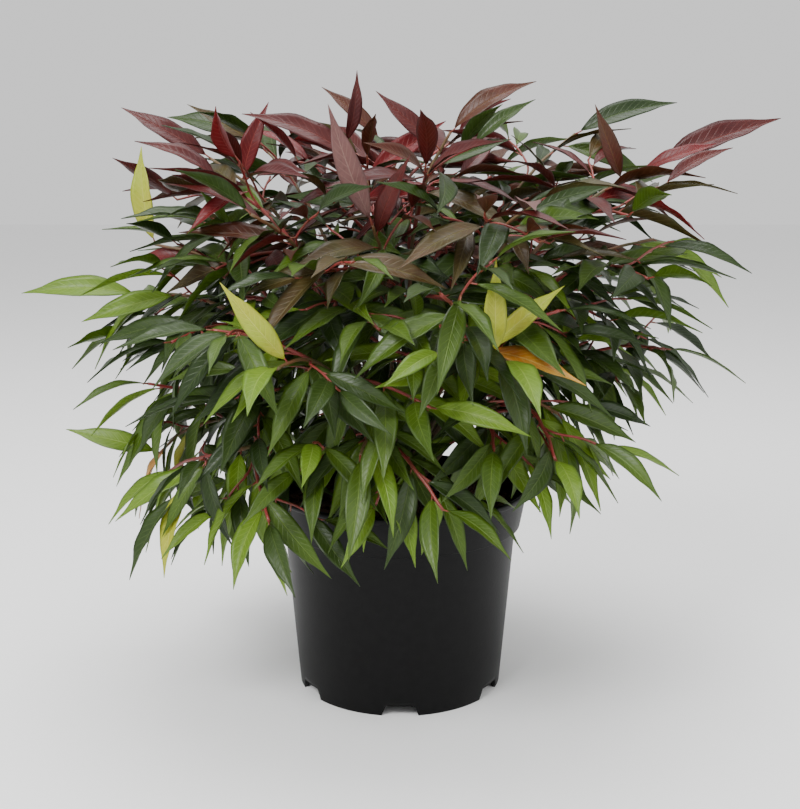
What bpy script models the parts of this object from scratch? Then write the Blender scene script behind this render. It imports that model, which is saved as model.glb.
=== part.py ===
"""Potted leucothoe: a low evergreen shrub of arching leafy shoots in a black plastic nursery pot.

Units are metres, +Z is up, and the origin is on the ground under the middle of the pot. A bearing
of 0 degrees points out of the front (-Y) and 90 degrees to the right (+X).

Every bough rises from one short woody stock and arches outwards. Beyond its tip its spray goes on:
a three-sided stem, side shoots that fork off it, and alternate leaves, fused into one solid.
"""
import math
import random
from collections import namedtuple

import bmesh
import bpy
import numpy as np
from mathutils import Matrix, Vector
from mathutils.bvhtree import BVHTree

# Pot: a round nursery pot of 190 mm across the rim and 150 mm high
POT_HEIGHT = 0.150
RIM_RADIUS = 0.095
BASE_RADIUS = 0.0753
POT_WALL = 0.0016
LIP_HEIGHT = 0.0040
LIP_WIDTH = 0.0032
BAND_HEIGHT = 0.0296
BAND_FOOT_RADIUS = 0.0888
WALL_TOP_RADIUS = 0.0855
FLOOR_HEIGHT = 0.0095
FOOT_RING_WIDTH = 0.0026
POT_SIDES = 48
NOTCH_COUNT = 6
NOTCH_HEIGHT = 0.0078
NOTCH_TOP_WIDTH = 0.020
NOTCH_FOOT_WIDTH = 0.026
DRAIN_HOLE_COUNT = 6
DRAIN_HOLE_RADIUS = 0.0055
DRAIN_HOLE_RING = 0.052

# Growing mix, and the short woody stock that stands in it
FIT_GAP = 0.0003
SEAT_GAP = 0.0004
SOIL_TOP = 0.1365
SOIL_RISE = 0.003
SOIL_TOP_RADIUS = 0.030
STOCK_HEIGHT = 0.040
STOCK_FOOT_RADIUS = 0.0145
STOCK_RADIUS = 0.0105
STOCK_TOP_RADIUS = 0.0070
STOCK_FLARE_SHARE = 0.22
STOCK_SHOULDER_SHARE = 0.92
STOCK_SIDES = 14

# Boughs: their feet stand round the stock in three rings, at these shares of its height
FOOT_RINGS = (0.28, 0.56, 0.84)
FOOT_RING_SHARES = (0.34, 0.70, 1.0)
BOUGH_SHARE = 0.36
BOUGH_FOOT_RADIUS = 0.0023
BOUGH_TIP_RADIUS = 0.0016
BOUGH_SIDES = 5
BOUGH_RINGS = 6

# A limb's line, in degrees above level and in shares of its span: the flattest and the steepest
# start, how much steeper it gets with its lean, and how far it bows over to its end
FLATTEST_START = 40.0
STEEPEST_START = 84.0
START_STEEPENING = 0.54
LOW_END_DROOP = 62.0
HIGH_END_DROOP = 28.0
DROOP_HEIGHTS = (0.16, 0.39)
START_SPAN_SHARE = 0.40
END_SPAN_SHARE = 0.34

# Shoots: a leading one past each bough's tip, and side shoots that fork off it
SHOOT_SIDES = 3
LEAD_RINGS = 6
LEAD_BARE_SHARE = 0.14
SHOOT_TIP_RADIUS = 0.0010
SIDE_SHOOT_RADIUS = 0.0014
SIDE_SHOOT_LENGTH = 0.082
SIDE_SHOOT_RINGS = 4
SIDE_BARE_SHARE = 0.32
SIDE_SPAN_SHARES = (0.34, 0.32)
SIDE_TURN = (25.0, 85.0)
SIDE_CLIMB_SHARE = 0.55
SIDE_PITCH = (-38.0, 30.0)
SIDE_LENGTHS = (0.80, 1.15)
SIDE_END_TURN = 8.0
SIDE_END_DROOP = 22.0
FIRST_FORK_AT = 0.06
FORKS_SPREAD_OVER = 0.62
SHOOT_TRIES = 16
NODE_SPACING = 0.0138
TWIG_CLEARANCE = 0.0008
LIMB_NUDGES = (0.0, 0.006, -0.006, 0.012, -0.012, 0.018, -0.018, 0.024, -0.024)

# Leaves
LEAF_WIDTH_SHARE = 0.215
LEAF_WIDEST_AT = 0.38
LEAF_ARCH_SHARE = 0.085
LEAF_THICKNESS_SHARE = 0.014
LEAF_ROOT_SINK = 0.45
BLADE_STARTS_AT = 0.14
LEAF_CLEARANCE = 0.0005
LEAF_TRIES = 16
LEAF_ROLL = 34.0
OUTWARD_LEAN = 0.7
FACING_LEAN = 1.2
LAST_LEAF_AT = 0.995
FEWEST_LEAVES = 4
YOUNG_LEAF_SHARE = 0.82
OLD_LEAF_TURN = 74.0
YOUNG_LEAF_TURN = 34.0
UPRIGHT_SHOOT = 0.87
SPIRAL_TURN = 137.5

# How leaves are carried, in degrees above level, at the top of the crown, midway and low down
LEAF_PITCHES = (22.0, -14.0, -50.0)
LEAF_PITCH_HEIGHTS = (0.41, 0.32, 0.17)
YOUNG_LEAF_RISE = 36.0

# The crown's furthest reach to each side, its top and its lowest leaf tip
CROWN_REACH = Vector((0.2665, 0.2380, 0.0))
PLANT_HEIGHT = 0.4475
LOWEST_LEAF = 0.098

# Shoots end inside a dome: its radius up to the shoulder, and at its top and foot
DOME_RADIUS = 0.190
DOME_TOP_RADIUS = 0.135
DOME_FOOT_RADIUS = 0.168
DOME_TOP = 0.408
DOME_SHOULDER = 0.365
DOME_FOOT = 0.140

SEED = 1903

# One row for each spray: where its leading shoot ends (bearing, reach from the pot's middle and
# height), how many side shoots fork off it, its leaf length and its leaf colour
Spray = namedtuple("Spray", "name bearing reach height forks leaf colour")
SPRAYS = [
    Spray("top_front_left", 286, 0.040, 0.396, 3, 0.072, "maroon"),
    Spray("top_right", 60, 0.040, 0.404, 3, 0.072, "maroon"),
    Spray("top_back", 190, 0.085, 0.400, 3, 0.074, "maroon"),
    Spray("upper_left", 268, 0.134, 0.386, 3, 0.074, "maroon"),
    Spray("upper_right", 88, 0.180, 0.382, 3, 0.080, "maroon"),
    Spray("upper_front", 350, 0.100, 0.345, 3, 0.076, "bronze"),
    Spray("upper_front_right", 44, 0.128, 0.360, 3, 0.076, "bronze"),
    Spray("upper_front_left", 316, 0.136, 0.352, 3, 0.076, "maroon"),
    Spray("upper_back_left", 232, 0.140, 0.398, 3, 0.076, "bronze"),
    Spray("upper_back_right", 118, 0.150, 0.404, 3, 0.076, "bronze"),
    Spray("upper_back", 165, 0.155, 0.360, 3, 0.076, "bronze"),
    Spray("shoulder_left", 266, 0.178, 0.325, 2, 0.074, "green"),
    Spray("middle_left", 276, 0.184, 0.292, 3, 0.080, "green"),
    Spray("middle_right", 88, 0.180, 0.330, 3, 0.076, "green"),
    Spray("middle_front_left", 334, 0.170, 0.262, 3, 0.076, "green"),
    Spray("middle_front_right", 22, 0.170, 0.268, 3, 0.076, "green"),
    Spray("middle_back_right", 150, 0.184, 0.280, 3, 0.076, "green"),
    Spray("middle_back_left", 212, 0.184, 0.290, 3, 0.076, "green"),
    Spray("low_left", 264, 0.182, 0.168, 3, 0.074, "bright"),
    Spray("low_front_left", 300, 0.170, 0.166, 3, 0.072, "bright"),
    Spray("low_front", 350, 0.142, 0.205, 2, 0.070, "bright"),
    Spray("low_front_right", 48, 0.140, 0.222, 3, 0.072, "bright"),
    Spray("low_right", 98, 0.168, 0.236, 3, 0.074, "green"),
    Spray("low_back_right", 142, 0.165, 0.200, 2, 0.074, "green"),
    Spray("low_back_left", 220, 0.165, 0.190, 2, 0.074, "green"),
]

# Leaves at the end of a leading shoot, last one first, where they draw the crown's outline:
# bearing, pitch, length, and the bearing that the upper side leans to
OUTLINE_LEAVES = {
    "top_front_left": [(60, 80, 0.051, 20), (276, 22, 0.084, 340), (90, 30, 0.070, 10)],
    "top_right": [(92, 30, 0.068, 10), (270, 42, 0.060, 340)],
    "top_back": [(270, 40, 0.060, 0), (90, 30, 0.060, 0)],
    "upper_left": [(270, 30, 0.072, 330), (268, 22, 0.074, 340), (80, 70, 0.058, 0)],
    "upper_right": [(90, 21, 0.091, 20), (76, 20, 0.060, 10), (300, 64, 0.058, 0)],
    "upper_front": [(285, 70, 0.080, 350), (40, 56, 0.062, 10)],
    "upper_back_left": [(262, 14, 0.074, 330), (280, 30, 0.070, 0)],
    "upper_back_right": [(88, 18, 0.080, 20), (80, -20, 0.074, 0)],
    "shoulder_left": [(270, 84, 0.070, 345), (86, 78, 0.070, 10), (90, 64, 0.070, 0),
                      (262, 2, 0.060, 0)],
    "middle_left": [(270, 0, 0.084, 340), (262, -46, 0.074, 300), (275, -12, 0.070, 0)],
    "middle_right": [(90, -40, 0.074, 40), (78, -20, 0.066, 20), (90, -50, 0.066, 40)],
    "middle_front_left": [(352, -10, 0.080, 0), (292, 50, 0.066, 350), (310, -24, 0.076, 330)],
    "middle_front_right": [(10, -14, 0.082, 10), (350, 80, 0.060, 0), (88, 42, 0.062, 10),
                           (52, -10, 0.078, 30)],
    "middle_back_right": [(170, -10, 0.082, 150)],
    "middle_back_left": [(188, -12, 0.080, 200)],
    "low_left": [(272, 14, 0.072, 330), (262, -62, 0.070, 300), (250, -40, 0.070, 300)],
    "low_front_left": [(280, -58, 0.070, 310), (320, -66, 0.070, 330), (276, -30, 0.074, 330)],
    "low_front": [(350, -52, 0.070, 0), (20, -44, 0.070, 10)],
    "low_front_right": [(30, -50, 0.072, 20), (100, -24, 0.072, 40)],
}

# Colour, roughness and metallic value of each kind of surface
FINISHES = {
    "pot": ((0.012, 0.012, 0.013), 0.45, 0.0),
    "soil": ((0.030, 0.018, 0.011), 0.95, 0.0),
    "bark": ((0.120, 0.070, 0.040), 0.80, 0.0),
    "maroon": ((0.130, 0.018, 0.022), 0.38, 0.0),
    "bronze": ((0.110, 0.050, 0.022), 0.38, 0.0),
    "green": ((0.030, 0.085, 0.022), 0.38, 0.0),
    "bright": ((0.100, 0.220, 0.035), 0.38, 0.0),
}

Shoot = namedtuple("Shoot", "path radii bare")
Node = namedtuple("Node", "base along radius place count leading")
Leaf = namedtuple("Leaf", "root direction normal length sink")


def clear_scene():
    """Start from an empty scene."""
    for thing in list(bpy.data.objects):
        bpy.data.objects.remove(thing, do_unlink=True)


def finish_for(kind, name):
    """A plain Principled material of its own for one object."""
    colour, roughness, metallic = FINISHES[kind]
    material = bpy.data.materials.new(name)
    material.use_nodes = True
    shader = material.node_tree.nodes["Principled BSDF"]
    shader.inputs["Base Color"].default_value = (*colour, 1.0)
    shader.inputs["Roughness"].default_value = roughness
    shader.inputs["Metallic"].default_value = metallic
    material.diffuse_color = (*colour, 1.0)
    return material


def add_object(name, vertices, faces, kind, collection=None):
    """Make a mesh object from its points and faces."""
    mesh = bpy.data.meshes.new(name)
    mesh.from_pydata([tuple(point) for point in vertices], [], faces)
    mesh.update()
    thing = bpy.data.objects.new(name, mesh)
    thing.data.materials.append(finish_for(kind, name))
    (collection or bpy.context.scene.collection).objects.link(thing)
    return thing


def turned(profile, sides):
    """Points and faces of a closed solid turned from (radius, height) pairs.

    The profile runs from the axis at the bottom, out and up, and back to the axis.
    """
    inner = profile[1:-1]
    angles = 2 * math.pi * np.arange(sides) / sides
    radii = np.array([radius for radius, _ in inner])
    heights = np.array([height for _, height in inner])
    x = np.outer(radii, np.sin(angles))
    y = np.outer(radii, -np.cos(angles))
    z = np.repeat(heights[:, None], sides, axis=1)
    points = [(0.0, 0.0, profile[0][1])]
    points += [tuple(point) for point in np.stack([x, y, z], axis=2).reshape(-1, 3)]
    points.append((0.0, 0.0, profile[-1][1]))
    faces = []
    for side in range(sides):
        following = (side + 1) % sides
        faces.append((0, 1 + following, 1 + side))
        for ring in range(len(inner) - 1):
            low = 1 + ring * sides
            high = low + sides
            faces.append((low + side, low + following, high + following, high + side))
        last = 1 + (len(inner) - 1) * sides
        faces.append((len(points) - 1, last + side, last + following))
    return points, faces


def cut_away(thing, cutters):
    """Take the cutters out of a solid and leave no helper behind."""
    holder = bpy.data.collections.new("cutters")
    for cutter in cutters:
        for home in list(cutter.users_collection):
            home.objects.unlink(cutter)
        holder.objects.link(cutter)
    bpy.context.scene.collection.children.link(holder)
    cut = thing.modifiers.new("cut", "BOOLEAN")
    cut.operation = "DIFFERENCE"
    cut.operand_type = "COLLECTION"
    cut.collection = holder
    apply_modifiers(thing)
    remove_collection(holder)


def merge_close_points(thing):
    """Merge points that a cut left in one place."""
    mesh = bmesh.new()
    mesh.from_mesh(thing.data)
    bmesh.ops.remove_doubles(mesh, verts=mesh.verts, dist=0.00002)
    mesh.to_mesh(thing.data)
    mesh.free()


def apply_modifiers(thing):
    """Swap an object's mesh for the one that its modifiers give."""
    graph = bpy.context.evaluated_depsgraph_get()
    graph.update()
    mesh = bpy.data.meshes.new_from_object(thing.evaluated_get(graph))
    thing.modifiers.clear()
    thing.data = mesh


def remove_collection(holder):
    """Remove a collection and the helper objects in it."""
    for helper in list(holder.objects):
        bpy.data.objects.remove(helper, do_unlink=True)
    bpy.data.collections.remove(holder)


def pot_outer_radius(height):
    """Outer radius of the pot's plain wall at a height."""
    share = height / (POT_HEIGHT - BAND_HEIGHT)
    return BASE_RADIUS + (WALL_TOP_RADIUS - BASE_RADIUS) * share


def pot_inner_radius(height):
    """Inner radius of the pot at a height, in its wall or in its wider band."""
    band_foot = POT_HEIGHT - BAND_HEIGHT
    if height <= band_foot + POT_WALL:
        return pot_outer_radius(height) - POT_WALL
    lip_foot = POT_HEIGHT - LIP_HEIGHT
    share = (height - band_foot) / (lip_foot - band_foot)
    return BAND_FOOT_RADIUS + (RIM_RADIUS - LIP_WIDTH - BAND_FOOT_RADIUS + POT_WALL) * share - POT_WALL


def make_pot():
    """The pot: tapered wall, wider rim band with a lip, raised floor, notched foot ring, holes."""
    band_foot = POT_HEIGHT - BAND_HEIGHT
    lip_foot = POT_HEIGHT - LIP_HEIGHT
    lip_inside = RIM_RADIUS - LIP_WIDTH
    round_off = 0.0008
    profile = [
        (0.0, FLOOR_HEIGHT),
        (pot_outer_radius(FLOOR_HEIGHT) - FOOT_RING_WIDTH, FLOOR_HEIGHT),
        (BASE_RADIUS - FOOT_RING_WIDTH, 0.0),
        (BASE_RADIUS, 0.0),
        (WALL_TOP_RADIUS, band_foot),
        (BAND_FOOT_RADIUS, band_foot + round_off),
        (lip_inside + POT_WALL, lip_foot - round_off),
        (RIM_RADIUS, lip_foot + round_off),
        (RIM_RADIUS, POT_HEIGHT - round_off),
        (RIM_RADIUS - round_off, POT_HEIGHT),
        (lip_inside, POT_HEIGHT),
        (lip_inside, lip_foot),
        (BAND_FOOT_RADIUS - POT_WALL, band_foot + 2 * POT_WALL),
        (WALL_TOP_RADIUS - POT_WALL, band_foot + POT_WALL / 2),
        (pot_inner_radius(FLOOR_HEIGHT + POT_WALL), FLOOR_HEIGHT + POT_WALL),
        (0.0, FLOOR_HEIGHT + POT_WALL),
    ]
    pot = add_object("nursery_pot", *turned(profile, POT_SIDES), "pot")
    cutters = [notch_cutter(60.0 * place) for place in range(NOTCH_COUNT)]
    cutters += [drain_cutter(60.0 * place + 30.0) for place in range(DRAIN_HOLE_COUNT)]
    cut_away(pot, cutters)
    merge_close_points(pot)
    return pot


def notch_cutter(bearing):
    """A wedge across the foot ring, wider at the ground, at one bearing."""
    inner = BASE_RADIUS - 3 * FOOT_RING_WIDTH
    outer = BASE_RADIUS + 2 * FOOT_RING_WIDTH
    below = -0.002
    foot = NOTCH_FOOT_WIDTH / 2
    top = NOTCH_TOP_WIDTH / 2
    bottom_half = foot + (foot - top) * (-below) / NOTCH_HEIGHT
    section = [(-bottom_half, below), (bottom_half, below), (top, NOTCH_HEIGHT), (-top, NOTCH_HEIGHT)]
    points = [(across, -inner, height) for across, height in section]
    points += [(across, -outer, height) for across, height in section]
    faces = [(3, 2, 1, 0), (4, 5, 6, 7), (0, 1, 5, 4), (1, 2, 6, 5), (2, 3, 7, 6), (3, 0, 4, 7)]
    turn = Matrix.Rotation(math.radians(bearing), 3, "Z")
    return add_object("notch_cutter", [turn @ Vector(point) for point in points], faces, "pot")


def drain_cutter(bearing):
    """A round plug through the pot's floor at one bearing."""
    low = FLOOR_HEIGHT - 0.002
    high = FLOOR_HEIGHT + POT_WALL + 0.002
    profile = [(0.0, low), (DRAIN_HOLE_RADIUS, low), (DRAIN_HOLE_RADIUS, high), (0.0, high)]
    points, faces = turned(profile, 12)
    middle = outward(bearing) * DRAIN_HOLE_RING
    return add_object("drain_cutter", [Vector(point) + middle for point in points], faces, "pot")


def make_soil():
    """The growing mix: it fills the pot up to just under the rim and stands a little proud midway."""
    floor = FLOOR_HEIGHT + POT_WALL + FIT_GAP
    band_foot = POT_HEIGHT - BAND_HEIGHT
    edge = SOIL_TOP - SOIL_RISE
    profile = [
        (0.0, floor),
        (pot_inner_radius(floor) - 2 * FIT_GAP, floor),
        (WALL_TOP_RADIUS - POT_WALL - 2 * FIT_GAP, band_foot + POT_WALL / 2),
        (BAND_FOOT_RADIUS - POT_WALL - FIT_GAP, band_foot + 2 * POT_WALL + 2 * FIT_GAP),
        (pot_inner_radius(edge) - 2 * FIT_GAP, edge),
        (SOIL_TOP_RADIUS, SOIL_TOP),
        (0.0, SOIL_TOP),
    ]
    return add_object("growing_mix", *turned(profile, POT_SIDES), "soil")


def make_stock():
    """The short woody stem that every bough springs from, flared where it meets the mix."""
    foot = SOIL_TOP + FIT_GAP
    profile = [
        (0.0, foot),
        (STOCK_FOOT_RADIUS, foot),
        (STOCK_RADIUS, foot + STOCK_HEIGHT * STOCK_FLARE_SHARE),
        (STOCK_RADIUS, foot + STOCK_HEIGHT * STOCK_SHOULDER_SHARE),
        (STOCK_TOP_RADIUS, foot + STOCK_HEIGHT),
        (0.0, foot + STOCK_HEIGHT),
    ]
    return add_object("woody_stock", *turned(profile, STOCK_SIDES), "bark")


def outward(bearing):
    """Level unit vector along a bearing in degrees."""
    angle = math.radians(bearing)
    return Vector((math.sin(angle), -math.cos(angle), 0.0))


def heading(bearing, pitch):
    """Unit vector along a bearing, raised by a pitch, both in degrees."""
    lift = math.radians(pitch)
    return outward(bearing) * math.cos(lift) + Vector((0.0, 0.0, math.sin(lift)))


def curve_point(corners, share):
    """Point of the cubic Bezier curve of four corners at a share of its run."""
    rest = 1.0 - share
    a, b, c, d = corners
    return a * rest**3 + b * (3 * rest**2 * share) + c * (3 * rest * share**2) + d * share**3


def curve_points(corners, first, last, count):
    """Evenly spaced points of a Bezier curve between two shares of its run."""
    return [curve_point(corners, first + (last - first) * i / (count - 1)) for i in range(count)]


def ramp(low, high, value):
    """How far a value lies from low to high, held between 0 and 1."""
    return min(1.0, max(0.0, (value - low) / (high - low)))


def bough_feet():
    """Bearing and height of every bough's foot on the stock, by spray name.

    Low sprays spring from the lowest ring of feet and high ones from the top ring. The feet of a
    ring share it evenly, in the order of their sprays' bearings, so that the limbs fan out like a
    fountain and don't cross.
    """
    feet = {}
    by_height = sorted(SPRAYS, key=lambda spray: spray.height)
    begin = 0
    for level, last_share in zip(FOOT_RINGS, FOOT_RING_SHARES):
        end = round(last_share * len(SPRAYS))
        ring = sorted(by_height[begin:end], key=lambda spray: spray.bearing)
        step = 360.0 / len(ring)
        offset = sum(spray.bearing - step * place for place, spray in enumerate(ring)) / len(ring)
        for place, spray in enumerate(ring):
            feet[spray.name] = (offset + step * place, SOIL_TOP + FIT_GAP + STOCK_HEIGHT * level)
        begin = end
    return feet


def limb_curve(spray, foot, nudge):
    """The arching line of a bough and its leading shoot, from the stock to the shoot's end.

    High sprays leave the stock steeply and low ones flatter. nudge bows the line to one side.
    """
    foot_bearing, foot_height = foot
    end = outward(spray.bearing) * spray.reach
    end.z = spray.height
    lean = math.degrees(math.atan2(spray.height - foot_height, spray.reach))
    start_pitch = min(STEEPEST_START, FLATTEST_START + START_STEEPENING * max(0.0, lean))
    droop = LOW_END_DROOP + (HIGH_END_DROOP - LOW_END_DROOP) * ramp(*DROOP_HEIGHTS, spray.height)
    start = outward(foot_bearing) * (STOCK_RADIUS + BOUGH_FOOT_RADIUS + FIT_GAP)
    start.z = foot_height
    span = (end - start).length
    aside = outward(spray.bearing + 90.0) * nudge
    half_way = foot_bearing + 0.5 * turn_between(foot_bearing, spray.bearing)
    rising = start + heading(half_way, start_pitch) * span * START_SPAN_SHARE
    falling = end - heading(spray.bearing, lean - droop) * span * END_SPAN_SHARE
    return [start, rising + aside, falling + aside, end]


def seat_on_stock(corners, stock):
    """Move a limb's foot towards the stock's middle until its nearest corner is a hair off it."""
    level = Vector((corners[0].x, corners[0].y, 0.0)).normalized()
    for _ in range(3):
        path = curve_points(corners, 0.0, BOUGH_SHARE, BOUGH_RINGS)
        foot = tube(path, taper(BOUGH_FOOT_RADIUS, BOUGH_TIP_RADIUS, len(path)), BOUGH_SIDES)[0]
        nearest = min(stock.find_nearest(corner)[3] for corner in foot[:BOUGH_SIDES])
        corners[0] = corners[0] - level * (nearest - SEAT_GAP)


def turn_between(first, second):
    """The shorter turn from one bearing to another, in degrees."""
    return (second - first + 180.0) % 360.0 - 180.0


def tube(path, radii, sides, first_corner=90.0):
    """Points and faces of a tapering limb of few sides along a path, closed at both ends.

    The section keeps its level side level; first_corner is the angle of its first corner above it.
    """
    count = len(path)
    points = []
    across = (path[1] - path[0]).cross(Vector((0.0, 0.0, 1.0))).normalized()
    for place, middle in enumerate(path):
        along = (path[min(count - 1, place + 1)] - path[max(0, place - 1)]).normalized()
        across = (across - along * across.dot(along)).normalized()
        upright = across.cross(along)
        for side in range(sides):
            angle = math.radians(first_corner) - 2 * math.pi * side / sides
            points.append(middle + (across * math.cos(angle) + upright * math.sin(angle)) * radii[place])
    faces = [tuple(reversed(range(sides)))]
    for ring in range(count - 1):
        for side in range(sides):
            low = ring * sides
            following = (side + 1) % sides
            faces.append((low + side, low + following, low + sides + following, low + sides + side))
    faces.append(tuple(range((count - 1) * sides, count * sides)))
    return points, faces


def taper(first, last, count):
    """Evenly stepped radii from one end of a limb to the other."""
    return [first + (last - first) * place / (count - 1) for place in range(count)]


def leaf_corners(leaf, root_at=0.0, lift=0.0, spread=0.0):
    """The five corners of a leaf: its root, its left, right and ridge at the widest, and its tip.

    root_at starts it part of the way along, lift moves it along its normal and spread widens it.
    """
    across = leaf.direction.cross(leaf.normal).normalized()
    half_width = leaf.length * LEAF_WIDTH_SHARE / 2 + spread
    raised = leaf.root + leaf.normal * lift
    arch = leaf.normal * (leaf.length * LEAF_ARCH_SHARE)
    middle = raised + leaf.direction * (leaf.length * LEAF_WIDEST_AT) + arch
    if root_at > 0.0:
        root = raised.lerp(middle, root_at / LEAF_WIDEST_AT)
    else:
        root = raised - leaf.direction * leaf.sink
    ridge = leaf.normal * (leaf.length * LEAF_THICKNESS_SHARE)
    tip = raised + leaf.direction * (leaf.length + spread)
    return [root, middle - across * half_width, middle + across * half_width, middle + ridge, tip]


LEAF_FACES = [(0, 3, 1), (1, 3, 4), (3, 2, 4), (0, 2, 3), (0, 1, 2), (1, 4, 2)]


def leaf_tree(leaf, root_at, clearance):
    """Search tree of a leaf, from root_at of its length on, thickened by a clearance."""
    points = []
    faces = []
    for lift in (-clearance, 0.0, clearance):
        start = len(points)
        points += leaf_corners(leaf, root_at, lift, clearance)
        faces += [tuple(start + corner for corner in face) for face in LEAF_FACES]
    return BVHTree.FromPolygons(points, faces)


def tube_tree(path, radii, clearance, sides=6):
    """Search tree of a limb thickened by a clearance."""
    return BVHTree.FromPolygons(*tube(path, [radius + clearance for radius in radii], sides))


def leaf_pitch(height, share):
    """How a leaf is carried, in degrees above level.

    Leaves rise at the top of the crown and hang low down, and old ones near a shoot's foot hang
    more than the young ones at its end.
    """
    top, midway, low = LEAF_PITCH_HEIGHTS
    top_pitch, midway_pitch, low_pitch = LEAF_PITCHES
    carried = low_pitch + (midway_pitch - low_pitch) * ramp(low, midway, height)
    carried += (top_pitch - midway_pitch) * ramp(midway, top, height)
    return carried + YOUNG_LEAF_RISE * (share - 0.5)


def leaf_normal(direction, base, facing, roll):
    """The way a leaf's upper side faces, square to the leaf: up and outwards, or to a bearing."""
    if facing is None:
        lean = Vector((base.x, base.y, 0.0)).normalized() * OUTWARD_LEAN
    else:
        lean = outward(facing) * FACING_LEAN
    wanted = Vector((0.0, 0.0, 1.0)) + lean
    normal = (wanted - direction * wanted.dot(direction)).normalized()
    return Matrix.Rotation(math.radians(roll), 3, direction) @ normal


class Space:
    """Every limb, shoot and leaf placed so far, to find what a new one would touch."""

    def __init__(self):
        self.solids = []
        self.stems = {}
        self.blades = {}
        self.blade_trees = {}

    def add_solid(self, points, faces):
        self.solids.append(BVHTree.FromPolygons(points, faces))

    def add_stem(self, spray_name, path, radii):
        self.stems.setdefault(spray_name, []).append(tube_tree(path, radii, 0.0))

    def add_leaf(self, spray_name, leaf):
        points, faces = self.blades.setdefault(spray_name, ([], []))
        start = len(points)
        points += leaf_corners(leaf)
        faces += [tuple(start + corner for corner in face) for face in LEAF_FACES]
        self.blade_trees[spray_name] = BVHTree.FromPolygons(points, faces)

    def stem_trees(self, skipped=None):
        return [tree for name, trees in self.stems.items() if name != skipped for tree in trees]

    def is_free_for_limb(self, path, radii):
        """A bough and its leading shoot stand clear of every other limb, and just off the stock."""
        tree = tube_tree(path, [radius + TWIG_CLEARANCE for radius in radii], 0.0)
        bare = tube_tree(path, radii, 0.0)
        return (not any(tree.overlap(other) for other in self.stem_trees())
                and not any(bare.overlap(other) for other in self.solids))

    def is_free_for_shoot(self, tree, spray_name):
        """A side shoot grows out of its own spray's stems, so it's tested against the rest."""
        others = self.solids + self.stem_trees(spray_name)
        return not any(tree.overlap(other) for other in others)

    def is_free_for_leaf(self, leaf, spray_name):
        """A leaf may touch only the shoot that it grows from, and that only at its root."""
        whole = leaf_tree(leaf, 0.0, LEAF_CLEARANCE)
        others = self.solids + self.stem_trees(spray_name)
        others += [tree for name, tree in self.blade_trees.items() if name != spray_name]
        if any(whole.overlap(other) for other in others):
            return False
        blade = leaf_tree(leaf, BLADE_STARTS_AT, LEAF_CLEARANCE)
        own = list(self.stems[spray_name])
        if spray_name in self.blade_trees:
            own.append(self.blade_trees[spray_name])
        return not any(blade.overlap(other) for other in own)

    def room_at(self, point):
        """Distance from a point to the nearest stem."""
        return min(tree.find_nearest(point)[3] for tree in self.stem_trees())

    def nearest_spray(self, point):
        """Name of the spray whose stems pass nearest to a point."""
        nearest = {name: min(tree.find_nearest(point)[3] for tree in trees)
                   for name, trees in self.stems.items()}
        return min(nearest, key=nearest.get)


def course_of(along, otherwise):
    """Bearing of a direction in degrees, or another one where it points nearly straight up."""
    if math.hypot(along.x, along.y) < 0.05:
        return otherwise
    return math.degrees(math.atan2(along.x, -along.y))


def inside_dome(point):
    """Whether a shoot may end at a point: the dome narrows above its shoulder and towards its foot."""
    if not DOME_FOOT <= point.z <= DOME_TOP:
        return False
    midway = 0.5 * (DOME_FOOT + DOME_SHOULDER)
    radius = DOME_FOOT_RADIUS + (DOME_RADIUS - DOME_FOOT_RADIUS) * ramp(DOME_FOOT, midway, point.z)
    radius += (DOME_TOP_RADIUS - DOME_RADIUS) * ramp(DOME_SHOULDER, DOME_TOP, point.z)
    return math.hypot(point.x, point.y) <= radius


def lead_shoot(corners):
    """The leading shoot: the bough's own curve, taken on past its tip."""
    path = curve_points(corners, BOUGH_SHARE + 0.0015, 1.0, LEAD_RINGS)
    return Shoot(path, taper(BOUGH_TIP_RADIUS, SHOOT_TIP_RADIUS, len(path)), LEAD_BARE_SHARE)


def side_shoot(spray, parent, share, side, longest, thickest, space, dice):
    """A shoot off its parent at a share of the way: of many it could be, the clear one with most room.

    side is 1 to the right of the parent and -1 to the left, seen along it.
    """
    root, along = path_place(parent.path, share)
    course = course_of(along, spray.bearing)
    climb = math.degrees(math.asin(along.z))
    start_share, end_share = SIDE_SPAN_SHARES
    best = None
    most_room = 0.0
    for _ in range(SHOOT_TRIES):
        bearing = course + side * dice.uniform(*SIDE_TURN)
        pitch = SIDE_CLIMB_SHARE * climb + dice.uniform(*SIDE_PITCH)
        length = longest * dice.uniform(*SIDE_LENGTHS)
        end = root + heading(bearing, pitch) * length
        if not inside_dome(end):
            continue
        finish = heading(bearing + side * SIDE_END_TURN, pitch - SIDE_END_DROOP)
        corners = [root, root + along * length * start_share, end - finish * length * end_share, end]
        path = curve_points(corners, 0.0, 1.0, SIDE_SHOOT_RINGS)
        radii = taper(thickest, min(thickest, SHOOT_TIP_RADIUS), len(path))
        if not space.is_free_for_shoot(tube_tree(path, radii, TWIG_CLEARANCE), spray.name):
            continue
        room = space.room_at(end)
        if room > most_room:
            most_room = room
            best = Shoot(path, radii, SIDE_BARE_SHARE)
    return best


def side_shoots(spray, lead, space, dice):
    """The side shoots of a spray, to the left and right of its leading shoot in turn."""
    shoots = []
    for fork in range(spray.forks):
        share = FIRST_FORK_AT + FORKS_SPREAD_OVER * fork / max(1, spray.forks)
        side = 1.0 if fork % 2 else -1.0
        shoot = side_shoot(spray, lead, share, side, SIDE_SHOOT_LENGTH, SIDE_SHOOT_RADIUS, space, dice)
        if shoot:
            shoots.append(shoot)
            space.add_stem(spray.name, shoot.path, shoot.radii)
    return shoots


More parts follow.
